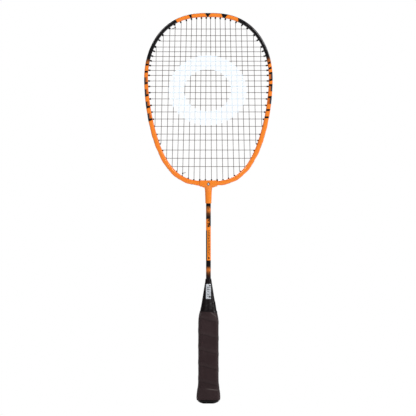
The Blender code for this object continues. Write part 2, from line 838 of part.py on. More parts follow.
def handle_ring(z, half_width, roundness=0.0, more=0.0):
    """One level of the handle: an octagon, a circle or between the two."""
    scale = half_width / CORE_HALF_WIDTH
    half_depth = CORE_HALF_DEPTH + (half_width - CORE_HALF_WIDTH)
    if half_width < CORE_HALF_WIDTH:
        half_depth = CORE_HALF_DEPTH * scale
    front = FRONT_FACET * scale
    side = SIDE_FACET * scale
    wide, deep = half_width + more, half_depth + more
    quarter = [(wide, -side), (wide, side), (front, deep), (-front, deep)]
    corners = quarter + [(-x, -y) for x, y in quarter]
    ring = []
    for i, (x, y) in enumerate(corners):
        next_x, next_y = corners[(i + 1) % len(corners)]
        for share in (0.0, 0.5):
            px, py = x + (next_x - x) * share, y + (next_y - y) * share
            reach = (half_width + more) / hypot(px, py)
            px += (px * reach - px) * roundness
            py += (py * reach - py) * roundness
            ring.append(Vector((px, py, z)))
    return ring


def cone_ring(z, more=0.0):
    """The cone's outside at a height, on its straight run between levels."""
    for lower, upper in zip(CONE_PROFILE, CONE_PROFILE[1:]):
        if z <= upper[0]:
            break
    share = min(max((z - lower[0]) / (upper[0] - lower[0]), 0.0), 1.0)
    pairs = zip(handle_ring(*lower, more), handle_ring(*upper, more))
    return [below.lerp(above, share) for below, above in pairs]


def cone_rings(more=0.0, low=CONE_PROFILE[0][0], high=CONE_PROFILE[-1][0]):
    """The cone's outside between two levels, moved out by a distance."""
    levels = [low] + [level[0] for level in CONE_PROFILE if low < level[0] < high] + [high]
    return [cone_ring(z, more) for z in levels]


def make_handle_cone():
    cone = add_object("handle_cone", loft_mesh("cone", cone_rings()))
    top = CONE_PROFILE[-1][0]
    spigot = SPIGOT_RADIUS + GAP
    shaft = SHAFT_RADIUS + GAP
    bore = turned_mesh("bore", [(0, top + PAST), (shaft, top + PAST), (shaft, SPIGOT_TOP + GAP),
                                (spigot, SPIGOT_TOP + GAP), (spigot, CORE_TOP - PAST),
                                (0, CORE_TOP - PAST)])
    boolean(cone, add_cutter("bore", bore), "DIFFERENCE")
    return finish(cone, "cone", pi / 5)


def make_handle_core():
    rings = [handle_ring(z, CORE_HALF_WIDTH) for z in (CORE_BOTTOM, CORE_TOP)]
    core = add_object("handle_core", loft_mesh("core", rings))
    spigot = turned_mesh("spigot", [(0, SPIGOT_TOP), (SPIGOT_RADIUS, SPIGOT_TOP),
                                    (SPIGOT_RADIUS, CORE_TOP - PAST), (0, CORE_TOP - PAST)])
    boolean(core, add_cutter("spigot", spigot), "UNION")
    bore = rod_mesh("bore", Vector((0, 0, SHAFT_BOTTOM - GAP)), Vector((0, 0, SPIGOT_TOP + PAST)),
                    SHAFT_RADIUS + GAP, ROUND_SIDES)
    boolean(core, add_cutter("bore", bore), "DIFFERENCE")
    return finish(core, "core", pi / 5)


def butt_width(z):
    """Half-width over the grip at a height on the butt."""
    for (z0, w0), (z1, w1) in zip(BUTT_PROFILE, BUTT_PROFILE[1:]):
        if z <= z1:
            return w0 + (w1 - w0) * max(0.0, (z - z0) / (z1 - z0))
    return BUTT_PROFILE[-1][1]


def make_butt_cap():
    """A cup over the core's end: a domed end, a rim and a flared skirt."""
    under_grip = GRIP_THICKNESS + GAP
    levels = list(CAP_END_PROFILE)
    levels += [(z, butt_width(z) - under_grip) for z in CAP_SKIRT_LEVELS]
    cap = add_object("butt_cap", loft_mesh("cap", [handle_ring(z, width) for z, width in levels]))
    seat = [handle_ring(z, CORE_HALF_WIDTH, 0.0, GAP)
            for z in (CORE_BOTTOM - GAP, CAP_SKIRT_TOP + PAST)]
    boolean(cap, add_cutter("seat", loft_mesh("seat", seat)), "DIFFERENCE")
    return finish(cap, "cap", pi / 5)


def make_grip_tape():
    """The wrapped grip as one sleeve: up its outside and down its inside."""
    rings = [handle_ring(z, width) for z, width in BUTT_PROFILE]
    rings.append(handle_ring(CORE_TOP, CORE_HALF_WIDTH + GRIP_THICKNESS))
    rings.append(cone_ring(CONE_PROFILE[1][0], GRIP_THICKNESS))
    rings.append(cone_ring(CONE_PROFILE[2][0], GRIP_TAPER))
    rings.append(cone_ring(GRIP_TOP, FINISH_EDGE))
    inside = cone_rings(GAP, CONE_PROFILE[0][0], GRIP_TOP)[::-1]
    inside.append(handle_ring(CAP_SKIRT_TOP + GRIP_STEP, CORE_HALF_WIDTH, 0.0, GAP))
    for z in (CAP_SKIRT_TOP + GAP,) + CAP_SKIRT_LEVELS[2:0:-1] + (GRIP_BOTTOM,):
        inside.append(handle_ring(z, max(butt_width(z) - GRIP_THICKNESS, CORE_HALF_WIDTH + GAP)))
    grip = add_object("grip_tape", loft_mesh("grip", rings + inside, closed=True))
    return finish(grip, "grip", pi / 5)


def make_finishing_tape():
    rings = cone_rings(GAP + FINISH_THICKNESS, FINISH_BOTTOM, FINISH_TOP)
    rings += cone_rings(GAP, FINISH_BOTTOM, FINISH_TOP)[::-1]
    tape = add_object("finishing_tape", loft_mesh("tape", rings, closed=True))
    return finish(tape, "tape", pi / 5)


def make_cone_label():
    """A thin label that follows the cone's front."""
    rings = cone_rings(LABEL_GAP + LABEL_THICKNESS, LABEL_BOTTOM, LABEL_TOP)
    rings += cone_rings(LABEL_GAP, LABEL_BOTTOM, LABEL_TOP)[::-1]
    label = add_object("cone_label", loft_mesh("label", rings, closed=True))
    work = bmesh.new()
    depth = 2 * CORE_HALF_DEPTH
    size = (2 * LABEL_HALF_WIDTH, depth, LABEL_TOP - LABEL_BOTTOM + 2 * PAST)
    place = Matrix.Translation((0, -depth / 2, (LABEL_BOTTOM + LABEL_TOP) / 2))
    bmesh.ops.create_cube(work, size=1, matrix=place @ Matrix.Diagonal((*size, 1)))
    box = bpy.data.meshes.new("front")
    work.to_mesh(box)
    work.free()
    boolean(label, add_cutter("front", box), "INTERSECT")
    return finish(label, "label")


def main():
    clear_scene()
    make_head_frame()
    make_throat_joint()
    make_shaft()
    make_string()
    make_grommets()
    make_handle_core()
    make_handle_cone()
    make_butt_cap()
    make_grip_tape()
    make_finishing_tape()
    make_cone_label()


main()
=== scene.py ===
"""Looks of the badminton racket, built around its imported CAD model.

Metres, +Z up along the shaft, the face of the strings towards -Y. Distances
along the hoop run from its bottom, up the left side and round.
"""
from functools import partial, reduce
from math import cos, pi, sin

import bmesh
import bpy
import numpy as np
from mathutils import Matrix, Vector, noise


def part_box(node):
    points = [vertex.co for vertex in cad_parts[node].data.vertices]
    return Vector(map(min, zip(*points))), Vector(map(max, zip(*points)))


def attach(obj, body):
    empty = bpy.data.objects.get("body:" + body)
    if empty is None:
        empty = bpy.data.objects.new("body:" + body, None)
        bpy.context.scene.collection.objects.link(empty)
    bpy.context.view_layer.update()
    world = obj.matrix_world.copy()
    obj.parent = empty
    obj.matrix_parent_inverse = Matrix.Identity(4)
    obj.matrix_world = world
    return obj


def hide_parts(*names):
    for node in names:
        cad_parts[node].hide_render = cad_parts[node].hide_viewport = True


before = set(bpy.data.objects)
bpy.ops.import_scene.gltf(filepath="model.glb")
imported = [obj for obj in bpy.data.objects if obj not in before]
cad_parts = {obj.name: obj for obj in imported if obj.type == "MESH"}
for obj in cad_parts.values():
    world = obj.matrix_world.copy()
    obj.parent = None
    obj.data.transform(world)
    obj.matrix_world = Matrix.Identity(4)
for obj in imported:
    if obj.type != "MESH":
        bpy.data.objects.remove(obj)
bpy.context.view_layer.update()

BODY = "root"

# Hoop, as in the CAD model.
HEAD_WIDEST = 0.4826
UPPER_POWERS = (2.58, 2.00)
LOWER_POWERS = (2.89, 1.86)
FRAME_WIDTH = 0.0074              # low on the head
# The tube narrows further up: distance along either side from the bottom,
# and how far in from the middle line the inner side is there.
INNER_SIDE = (
    (0.120, 0.0037), (0.150, 0.0031), (0.190, 0.0021), (0.220, 0.0019),
    (0.255, 0.0019), (0.320, 0.0026),
)
OUTER = FRAME_WIDTH / 2
GROOVE_FLOOR = OUTER - 0.0022
GROOVE_HALF_WIDTH = 0.0019
HOOP_SAMPLES = 2400               # per half, for measuring along the hoop
HOOP_END_GAP = 0.0010
RING_STEP = 0.0010                # between the hoop's rings
SCALLOP_DEPTH = 0.0007            # dips of the hoop's outer flanges
SCALLOP_TOP = 0.400               # they fade out above this height
SCALLOP_FADE = 0.045

# String and grommets.
STRING_RADIUS = 0.00040
WEAVE = 0.00042                   # half the distance between two crossing strings
STEPS_PER_CROSSING = 4
SIDE_BY_SIDE = 0.0004
SPREAD_APART = 0.0005
LANE = 0.0006
OUTER_LANE = 0.00135
TURN = 0.0006
MOUTH_BEND = 0.0005
KNOT_TURNS = 2
KNOT_SIDES = 16
KNOT_RADIUS = 0.0008
KNOT_PITCH = 0.0009
KNOT_START = 0.0018
TAIL = 0.0045
TIE_OFF_TOP_MAIN = 7
TIE_OFF_BOTTOM_MAIN = 5
MAINS_PER_SIDE = 10
CROSSES = 23
BORE_RADIUS = 0.00075
SHARED_BORE_RADIUS = 0.00120
BARREL_WALL = 0.00045
BARREL_SIDES = 20
BARREL_PROUD = 0.0014
SHARED_BARREL_PROUD = 0.0004
WEB_BOTTOM = GROOVE_FLOOR + 0.0003
WEB_TOP = WEB_BOTTOM + 0.0006
WEB_HALF_WIDTH = 0.0016
WEB_END = 0.0015
STRING_IN_GROOVE = WEB_TOP + 0.0002 + STRING_RADIUS

# T-joint and shaft.
SLEEVE_WALL = 0.0011
SLEEVE_CLEARANCE = 0.00012        # between the sleeve and the hoop
WING_HALF_DEPTH = 0.0046
# The wings seen from the front: half-width, height and radius of each corner.
WING_CORNERS = [
    (0.0126, 0.3264, 0.0004), (0.0125, 0.3234, 0.0006), (0.0070, 0.3204, 0.0007),
    (0.0054, 0.3214, 0.0003),
]
# The socket's outside: height and radius.
SOCKET_PROFILE = (
    (0.2972, 0.00430), (0.2976, 0.00452), (0.3060, 0.00472), (0.3138, 0.00500),
    (0.3166, 0.00525), (0.3207, 0.00580), (0.3240, 0.00620),
)
SOCKET_BORE = 0.00362
SOCKET_BORE_LENGTH = 0.0212       # from 1 mm below the socket
ROUND_SIDES = 64                  # of the socket and the shaft
JOINT_VOXEL = 0.00028             # the remesh that melts its three solids together
JOINT_SMOOTHING = 9
SHAFT_BORE = 0.0030
SHAFT_EDGE = 0.0002

# Handle.
SIDES = 144                       # points round the handle
CORE_HALF_WIDTH = 0.01315
CORE_HALF_DEPTH = 0.01140
FRONT_FACET = 0.0108
SIDE_FACET = 0.0068
CORE_TOP = 0.118
CONE_BORE = 0.0037                # round the shaft
PEG_BORE = 0.0063                 # round the core's peg, up to
PEG_TOP = 0.1503
# The cone's outside: height, half-width and how round it is, from 0, the
# core's octagon, to 1, a circle.
CONE_PROFILE = np.array((
    (0.1183, 0.01315, 0.0), (0.1263, 0.01300, 0.35), (0.1352, 0.01225, 0.8),
    (0.1380, 0.01185, 1.0), (0.1441, 0.01095, 1.0), (0.1530, 0.00945, 1.0),
    (0.1619, 0.00795, 1.0), (0.1709, 0.00655, 1.0), (0.1798, 0.00505, 1.0),
    (0.1842, 0.00450, 1.0), (0.1856, 0.00420, 1.0),
))
# The grip's outside: height and half-width.
GRIP_PROFILE = np.array((
    (0.0048, 0.0171), (0.0070, 0.0178), (0.0105, 0.0179), (0.0194, 0.0170),
    (0.0283, 0.0157), (0.0370, 0.01535), (0.1180, 0.01535), (0.1263, 0.0152),
    (0.1352, 0.01335), (0.1380, 0.01255),
))
# The cap's outside, from its end to its skirt's top: height and half-width.
CAP_PROFILE = (
    (0.0000, 0.0070), (0.0002, 0.0082), (0.0006, 0.0098), (0.0010, 0.0111),
    (0.0015, 0.0124), (0.0021, 0.0136), (0.0028, 0.0147), (0.0036, 0.0156),
    (0.0042, 0.0161), (0.0045, 0.0161), (0.00465, 0.0150), (0.0049, 0.0146),
    (0.0105, 0.0153), (0.0194, 0.0144), (0.0240, 0.0138),
)
CAP_FLOOR = 0.0049
WRAP_PITCH = 0.0235
WRAP_START = 0.0062               # a seam's height at the front's middle
TAPE_EDGE = 0.00026               # a turn's edge stands this proud of the last
OVERLAP = 0.16                    # share of the pitch where two turns overlap
FIRST_TURN_TOP = 0.0208
FIRST_TURN_SLANT = 0.0012
FIRST_TURN_FADE = 0.0012
WAVE_HEIGHT = 0.00009             # of the tape's unevenness
GRIP_STEP = 0.0005                # between the grip's rings
BUTT_EDGE = 0.0010                # size of the grip's lower edge
GRIP_WALL = 0.0022
# Painted highlights along two creases on the right of the grip's front:
# height at the front's middle, drop towards the side, thickness and strength.
LOW_CREASE_HIGHLIGHT = (0.0215, 0.0022, 0.0006, 1.6)
TOP_CREASE_HIGHLIGHT = (0.1402, 0.0147, 0.0010, 1.0)
# The finishing band: how far each edge is above the CAD's at the front's
# middle, and how much it rises from there to the right side.
BAND_ROWS = 40
BAND_TOP = (-0.0026, 0.0046)
BAND_BOTTOM = (-0.0024, -0.0010)
BAND_LIFT = 0.00020
BAND_THICKNESS = 0.00014
BAND_WRINKLES = 0.00012
GRIP_UNDER_BAND = 0.1378          # the grip's end, under the band
LABEL_CORNER = 0.0009
LABEL_FACE = 0.00035              # above the cone, and its back
LABEL_BACK = 0.00015

WHITE = (1.0, 1.0, 1.0, 1.0)
COOL_WHITE = (0.96, 0.98, 1.0, 1.0)
ORANGE = (0.735, 0.200, 0.021, 1.0)
# Deeper orange: the paint's uneven tone, and painted shade on the tube's sides.
DEEP_ORANGE = (0.715, 0.120, 0.006, 1.0)
BLACK = (0.0030, 0.0022, 0.0030, 1.0)
SLATE = (0.020, 0.026, 0.036, 1.0)

# The camera, the even light all round, and the lights: name, place, size and
# power, aimed at a height on the shaft.
CAMERA_PLACE = (-0.0006, -2.0, 0.2904)
CAMERA_WIDTH = 0.6176
SURROUND = 0.11
LIGHTS = (
    ("key", (1.3, -1.5, 1.5), 0.8, 37),
    ("fill", (-1.2, -1.5, 1.6), 0.8, 24),
    ("side", (1.9, 0.1, 1.25), 0.9, 27),
    ("back", (-0.6, 1.7, 1.4), 1.2, 34),
)
AIM_HEIGHT = 0.35


# ---------------- hoop line

def quarter(angles, height, powers, half_width):
    across = half_width * np.abs(np.cos(angles)) ** (2 / powers[0])
    up = (height - OUTER) * np.abs(np.sin(angles)) ** (2 / powers[1])
    return across, up


def half_hoop_depth():
    low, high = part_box("head_frame")
    return (high.y - low.y) / 2


def hoop_line():
    """x and z of the tube's middle line, all the way round, and the length
    along it at each of them."""
    low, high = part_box("head_frame")
    half_width = (high.x - low.x) / 2 - OUTER
    below = np.linspace(-pi / 2, 0, HOOP_SAMPLES, endpoint=False)
    above = np.linspace(0, pi / 2, HOOP_SAMPLES + 1)
    lower, drop = quarter(below, HEAD_WIDEST - low.z, LOWER_POWERS, half_width)
    upper, rise = quarter(above, high.z - HEAD_WIDEST, UPPER_POWERS, half_width)
    x = -np.concatenate([lower, upper])
    z = HEAD_WIDEST + np.concatenate([-drop, rise])
    x[0] = x[-1] = 0
    x = np.concatenate([x, -x[-2::-1]])
    z = np.concatenate([z, z[-2::-1]])
    along = np.concatenate([[0], np.cumsum(np.hypot(np.diff(x), np.diff(z)))])
    return x, z, along


LINE_X, LINE_Z, ALONG = hoop_line()
LENGTH = ALONG[-1]


def line_point(distance):
    distance = np.asarray(distance) % LENGTH
    return np.interp(distance, ALONG, LINE_X), np.interp(distance, ALONG, LINE_Z)


def inner_side(distance):
    """How far in from the middle line the tube's inner side is."""
    distance = np.asarray(distance) % LENGTH
    return np.interp(np.minimum(distance, LENGTH - distance), *np.array(INNER_SIDE).T)


def outward(distance):
    """The outward normal's x and z."""
    ahead, behind = line_point(distance + 0.001), line_point(distance - 0.001)
    x, z = ahead[0] - behind[0], ahead[1] - behind[1]
    size = np.hypot(x, z)
    return -z / size, x / size


def on_hoop(distance, out=0.0, y=0.0):
    """Points at distances along the hoop, moved outwards and along Y."""
    distance = np.asarray(distance, float)
    x, z = line_point(distance)
    across, up = outward(distance)
    out, y = np.broadcast_arrays(out, y)
    shape = np.broadcast(distance, out).shape
    return np.stack([x + across * out, np.broadcast_to(y, shape), z + up * out], axis=-1)


def hoop_coordinates(points):
    """Distance along the hoop and distance out of it, for each point."""
    along, out = [], []
    line = np.stack([LINE_X, LINE_Z], axis=1)
    for part in np.array_split(points[:, [0, 2]], max(1, len(points) // 2000)):
        gaps = ((part[:, None, :] - line[None]) ** 2).sum(axis=2)
        nearest = ALONG[gaps.argmin(axis=1)]
        across, up = outward(nearest)
        offset = part - np.stack(line_point(nearest), axis=1)
        along.append(nearest + offset[:, 0] * up - offset[:, 1] * across)
        out.append(offset[:, 0] * across + offset[:, 1] * up)
    return np.concatenate(along), np.concatenate(out)


# ---------------- meshes

def add(name, data):
    obj = bpy.data.objects.new(name, data)
    bpy.context.scene.collection.objects.link(obj)
    return obj


def ring_mesh(name, rings, cyclic=False):
    """A skin over rings with equally many points, with flat ends or joined
    to itself."""
    rings = np.asarray(rings, float)
    count, sides = rings.shape[:2]
    faces = []
    for i in range(count if cyclic else count - 1):
        low, high = i * sides, (i + 1) % count * sides
        for j in range(sides):
            k = (j + 1) % sides
            faces.append((low + j, low + k, high + k, high + j))
    if not cyclic:
        faces.append(tuple(range(sides))[::-1])
        faces.append(tuple(range((count - 1) * sides, count * sides)))
    mesh = bpy.data.meshes.new(name)
    mesh.from_pydata(rings.reshape(-1, 3).tolist(), [], faces)
    work = bmesh.new()
    work.from_mesh(mesh)
    bmesh.ops.recalc_face_normals(work, faces=work.faces)
    work.to_mesh(mesh)
    work.free()
    return mesh


def turned(name, profile, start, axis, sides):
    """A solid of (radius, distance along the axis) points, turned about it.
    The profile's ends are capped."""
    axis = Vector(axis).normalized()
    side = axis.orthogonal().normalized()
    other = axis.cross(side)
    turns = [2 * pi * i / sides for i in range(sides)]
    rings = [[Vector(start) + axis * height + (side * cos(t) + other * sin(t)) * radius
              for t in turns] for radius, height in profile]
    return ring_mesh(name, rings)


def joined(name, meshes):
    work = bmesh.new()
    for mesh in meshes:
        work.from_mesh(mesh)
    whole = bpy.data.meshes.new(name)
    work.to_mesh(whole)
    work.free()
    return whole


def evaluated(obj):
    """A mesh of an object as it is shown, modifiers included."""
    bpy.context.view_layer.update()
    depsgraph = bpy.context.evaluated_depsgraph_get()
    return bpy.data.meshes.new_from_object(obj.evaluated_get(depsgraph))


def apply_modifiers(obj):
    mesh = evaluated(obj)
    obj.modifiers.clear()
    obj.data = mesh


def cut(obj, mesh, operation="DIFFERENCE", solver="EXACT"):
    cutter = add("cutter", mesh)
    modifier = obj.modifiers.new("cut", "BOOLEAN")
    modifier.operation = operation
    modifier.object = cutter
    modifier.solver = solver
    apply_modifiers(obj)
    bpy.data.objects.remove(cutter)


def piece(name, mesh, look, replaced, sharp=0.6):
    """A finished visible piece, riding on the racket's one body."""
    return dress(add(name, mesh), look, replaced, sharp)


def dress(obj, look, replaced, sharp=0.6):
    obj.data.materials.clear()
    obj.data.materials.append(look)
    obj.data.shade_smooth()
    obj.data.set_sharp_from_angle(angle=sharp)
    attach(obj, BODY)
    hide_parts(*replaced)
    return obj


def store(mesh, name, values):
    """Keeps one number for each vertex, for the materials."""
    mesh.attributes.new(name, "FLOAT", "POINT").data.foreach_set("value", values)


def tag_hoop(mesh):
    """Stores each vertex's place on the hoop: the distance along it, the
    share of its width from the inner side, and the depth."""
    points = np.zeros(len(mesh.vertices) * 3)
    mesh.vertices.foreach_get("co", points)
    points = points.reshape(-1, 3)
    along, out = hoop_coordinates(points)
    inner = inner_side(along)
    share = np.clip((out + inner) / (OUTER + inner), 0, 1)
    place = mesh.attributes.new("hoop", "FLOAT_VECTOR", "POINT")
    place.data.foreach_set("vector", np.stack([along, share, points[:, 1]], axis=1).ravel())


def fillet(corners, steps=5):
    """Rounds the corners of a closed outline: (x, y, radius) points."""
    outline = []
    count = len(corners)
    for i, (x, y, radius) in enumerate(corners):
        here = Vector((x, y))
        before = (Vector(corners[i - 1][:2]) - here).normalized()
        after = (Vector(corners[(i + 1) % count][:2]) - here).normalized()
        half = before.angle(after) / 2
        reach = radius / np.tan(half)
        centre = here + (before + after).normalized() * (radius / sin(half))
        start = here + before * reach - centre
        turn = -start.angle_signed(here + after * reach - centre)
        for j in range(steps + 1):
            spin = Matrix.Rotation(turn * j / steps, 2)
            outline.append(tuple(centre + spin @ start))
    return outline


def mirrored(half, steps=5):
    """A rounded outline from its right half: (across, up, radius) corners."""
    return np.array(fillet(half + [(-x, y, radius) for x, y, radius in reversed(half)], steps))


def rod(hole, outer, inner, radius, bevel=0.0):
    """A rod along one of the hoop's holes, between two distances out of the
    middle line, its inner end bevelled."""
    start, end = on_hoop(hole, outer), on_hoop(hole, inner)
    length = outer - inner
    profile = [(radius, 0), (radius, length - bevel)]
    if bevel:
        profile.append((radius - bevel, length))
    return turned("rod", profile, start, end - start, BARREL_SIDES)


# ---------------- materials

class Look:
    """A material's node tree, with short ways to add nodes."""

    def __init__(self, name, colour=None, roughness=0.5, **values):
        self.material = bpy.data.materials.new(name)
        self.material.use_nodes = True
        self.tree = self.material.node_tree
        self.shader = self.tree.nodes["Principled BSDF"]
        self.set("Roughness", roughness)
        if colour:
            self.set("Base Color", colour)
        for key, value in values.items():
            self.set(key.replace("_", " "), value)

    def set(self, name, value):
        self.put(self.shader.inputs[name], value)

    def put(self, socket, value):
        if isinstance(value, bpy.types.NodeSocket):
            self.tree.links.new(value, socket)
        else:
            socket.default_value = value

    def node(self, kind, inputs=(), **settings):
        node = self.tree.nodes.new("ShaderNode" + kind)
        for key, value in settings.items():
            setattr(node, key, value)
        for key, value in dict(inputs).items():
            self.put(node.inputs[key], value)
        return node

    def place(self):
        """Object coordinates: x, y and z in metres."""
        return self.node("TexCoord").outputs["Object"]

    def stretched(self, share):
        """The place, with everything drawn out along Z."""
        return self.node("Mapping", {"Vector": self.place(), "Scale": (1.0, 1.0, share)}).outputs[0]

    def stored(self, name):
        return self.node("Attribute", attribute_name=name).outputs["Fac"]

    def split(self, vector):
        return self.node("SeparateXYZ", {0: vector}).outputs

    def math(self, operation, a, b=0.0, c=0.0):
        return self.node("Math", {0: a, 1: b, 2: c}, operation=operation).outputs[0]

    def minus(self, a, b):
        return self.math("SUBTRACT", a, b)

    def times(self, a, b):
        return self.math("MULTIPLY", a, b)

    def size(self, value):
        return self.math("ABSOLUTE", value)

    def ramp(self, value, low, high, to_low=0.0, to_high=1.0):
        """A smooth step from one value to another."""
        return self.node("MapRange", {0: value, 1: low, 2: high, 3: to_low, 4: to_high},
                         interpolation_type="SMOOTHSTEP").outputs[0]

    def band(self, value, centre, half, soft=0.00005):
        """1 where a value is within half of the centre, else 0."""
        edge = self.minus(half, self.size(self.minus(value, centre)))
        return self.ramp(edge, -soft, soft)

    def within(self, value, span, soft=0.0002):
        """1 where a value lies between two others, else 0."""
        return self.band(value, sum(span) / 2, (span[1] - span[0]) / 2, soft)

    def either(self, *values):
        return reduce(partial(self.math, "MAXIMUM"), values)

    def both(self, *values):
        return reduce(self.times, values)

    def mix(self, share, first, second):
        node = self.node("Mix", {"Factor": share, "A": first, "B": second}, data_type="RGBA")
        return [output for output in node.outputs if output.type == "RGBA"][0]

    def noise(self, scale, detail=3.0, vector=None, roughness=0.55):
        return self.node("TexNoise", {"Vector": vector or self.place(), "Scale": scale,
                                      "Detail": detail, "Roughness": roughness}).outputs["Fac"]

    def stops(self, value, colours):
        """A ramp of colours: (place from 0 to 1, colour)."""
        node = self.node("ValToRGB", {0: value})
        elements = node.color_ramp.elements
        while len(elements) < len(colours):
            elements.new(1.0)
        for element, (place, colour) in zip(elements, colours):
            element.position = place
            element.color = colour
        return node.outputs[0]

    def vary_roughness(self, scale, detail, low, high):
        self.set("Roughness", self.ramp(self.noise(scale, detail), 0.3, 0.7, low, high))

    def bump(self, height, distance, strength=1.0):
        node = self.node("Bump", {"Height": height, "Distance": distance, "Strength": strength})
        self.set("Normal", node.outputs[0])

    def coat(self, weight, roughness):
        self.set("Coat Weight", weight)
        self.set("Coat Roughness", roughness)


def orange_under(look, edge=0.0):
    """The orange paint: a little uneven, and deeper where edge is 1, which
    paints shade.
    """
    uneven = look.ramp(look.noise(22.0), 0.30, 0.80, 0.0, 0.30)
    return look.mix(look.either(uneven, edge), ORANGE, DEEP_ORANGE)


REDDISH = (0.260, 0.045, 0.006, 1.0)

# Centres of the black wedges between the top's panels: the distance along the
# hoop on its inner and outer sides, and their half lengths there.
TOP_WEDGES = (
    (0.3272, 0.3262, 0.0012, 0.0024),
    (0.3521, 0.3524, 0.0012, 0.0052),
    (0.3765, 0.3766, 0.0020, 0.0056),
)
LEFT_SHOULDER = (0.2275, 0.3048)
RIGHT_SHOULDER = (0.3965, 0.4765)
SHOULDER_FADE = 0.0065
TOP_RIM = 0.92                    # share of the width where the top's black rim starts
# Generic marks up both sides: dark stretches along the hoop, each with a
# block at its start, and single blocks.
DARK_STRETCHES = (
    (0.1415, 0.1530), (0.1605, 0.1705), (0.1780, 0.1890), (0.1960, 0.2065),
    (0.4935, 0.5060), (0.5110, 0.5220), (0.5290, 0.5410),
)
SINGLE_BLOCKS = (0.2130, 0.2235, 0.4782, 0.4860, 0.5035, 0.5482, 0.5592)
BLOCK_LENGTH = 0.0030


def make_paint():
    """Orange lacquer with black panels, fades and generic blocks; painted
    shade deepens the orange towards the tube's sides.
    """
    look = Look("hoop_paint", roughness=0.34, Specular_IOR_Level=0.12)
    along, share, _ = look.split(look.node("Attribute", attribute_name="hoop").outputs["Vector"])
    bulge = look.math("POWER", share, 1.7)
    black = []
    for inner, outer, narrow, wide in TOP_WEDGES:
        centre = look.math("MULTIPLY_ADD", share, outer - inner, inner)
        half = look.math("MULTIPLY_ADD", bulge, wide - narrow, narrow)
        black.append(look.band(along, centre, half, 0.0001))
    grain = look.minus(look.noise(900.0, 2.0), 0.5)
    worn = look.math("MULTIPLY_ADD", grain, 0.006, along)
    slant = look.times(bulge, 0.0030)
    start, end = LEFT_SHOULDER
    left = look.math("MINIMUM", look.ramp(worn, start - SHOULDER_FADE, start + SHOULDER_FADE),
                     look.ramp(along, end + 0.0001, end - 0.0001))
    start, end = RIGHT_SHOULDER
    panel_end = look.math("ADD", look.minus(along, 0.0025), slant)
    right = look.math("MINIMUM", look.ramp(panel_end, start - 0.0001, start + 0.0001),
                      look.ramp(worn, end + SHOULDER_FADE, end - SHOULDER_FADE))
    off_middle = look.size(look.minus(share, 0.5))
    # Painted shade: the orange deepens towards the tube's inner and outer sides.
    base = orange_under(look, look.ramp(off_middle, 0.20, 0.50, 0.0, 0.9))
    outer_stripe, middle_stripe, blocks = side_marks(look, along, share)
    base = look.mix(look.times(middle_stripe, 0.75), base, REDDISH)
    base = look.mix(outer_stripe, base, SLATE)
    rim = look.both(look.ramp(share, TOP_RIM - 0.02, TOP_RIM + 0.02),
                    look.within(along, (LEFT_SHOULDER[1], RIGHT_SHOULDER[0])))
    look.set("Base Color", look.mix(look.either(left, right, blocks, rim, *black), base, BLACK))
    look.coat(0.35, 0.08)
    look.bump(look.noise(240.0, 2.0), 0.00001, 0.25)
    return look.material


def side_marks(look, along, share):
    """Shares of the outer stripe, the middle stripe and the blocks."""
    lean = look.math("MULTIPLY_ADD", share, 0.0010, along)
    stretches = look.either(*[look.within(lean, stretch) for stretch in DARK_STRETCHES])
    starts = [stretch[0] for stretch in DARK_STRETCHES] + list(SINGLE_BLOCKS)
    blocks = look.either(*[look.band(lean, start + BLOCK_LENGTH / 2, BLOCK_LENGTH / 2, 0.0001)
                           for start in starts])
    return (look.both(stretches, look.ramp(share, 0.58, 0.66)),
            look.both(stretches, look.band(share, 0.44, 0.17, 0.04)),
            look.both(blocks, look.band(share, 0.50, 0.42, 0.03)))


# A plain diamond on the joint's front.
BADGE_HALF_WIDTH = 0.0028
BADGE_HALF_HEIGHT = 0.0030
BADGE_DROP = 0.0060               # its middle, below the joint's top
BADGE_SILVER = (0.50, 0.53, 0.57, 1.0)


def make_joint_paint():
    look = Look("joint_paint", roughness=0.36, Specular_IOR_Level=0.12)
    x, y, z = look.split(look.place())
    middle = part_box("throat_joint")[1].z - BADGE_DROP
    wide = look.math("DIVIDE", look.size(x), BADGE_HALF_WIDTH)
    up = look.math("DIVIDE", look.size(look.minus(z, middle)), BADGE_HALF_HEIGHT)
    diamond = look.math("ADD", wide, up)
    front = look.ramp(y, 0.0, -0.001)
    base = look.mix(look.both(look.ramp(diamond, 1.04, 0.96), front), orange_under(look), SLATE)
    base = look.mix(look.both(look.ramp(diamond, 0.62, 0.54), front), base, BADGE_SILVER)
    look.set("Base Color", base)
    look.coat(0.35, 0.12)
    look.bump(look.noise(200.0, 2.0), 0.00001, 0.2)
    return look.material


BROWN = (0.120, 0.042, 0.012, 1.0)
RUST = (0.420, 0.125, 0.020, 1.0)
# Colours up the shaft: height and colour.
SHAFT_BANDS = (
    (0.1858, BLACK), (0.1900, (0.030, 0.010, 0.005, 1.0)), (0.1940, BROWN),
    (0.1978, (0.620, 0.165, 0.022, 1.0)), (0.2012, (0.270, 0.080, 0.016, 1.0)), (0.2040, BLACK),
    (0.2124, BLACK), (0.2128, ORANGE), (0.2738, ORANGE), (0.2742, BLACK),
    (0.2780, (0.020, 0.009, 0.006, 1.0)), (0.2822, BROWN), (0.2866, (0.640, 0.175, 0.024, 1.0)),
    (0.2895, RUST), (0.2930, BROWN), (0.2934, BLACK), (0.2975, BLACK),
)
FIELD = (0.2126, 0.2740)          # the orange field with its marks
LEFT_EDGE = (0.2130, 0.2572)      # a black stripe down its left side
RIGHT_EDGE = (0.2636, 0.2740)     # and one down its right side
BLOTCHES = (0.2620, 0.2735)
SPECKS = (0.2200, 0.2570)
WEDGE = (0.2140, 0.2178)


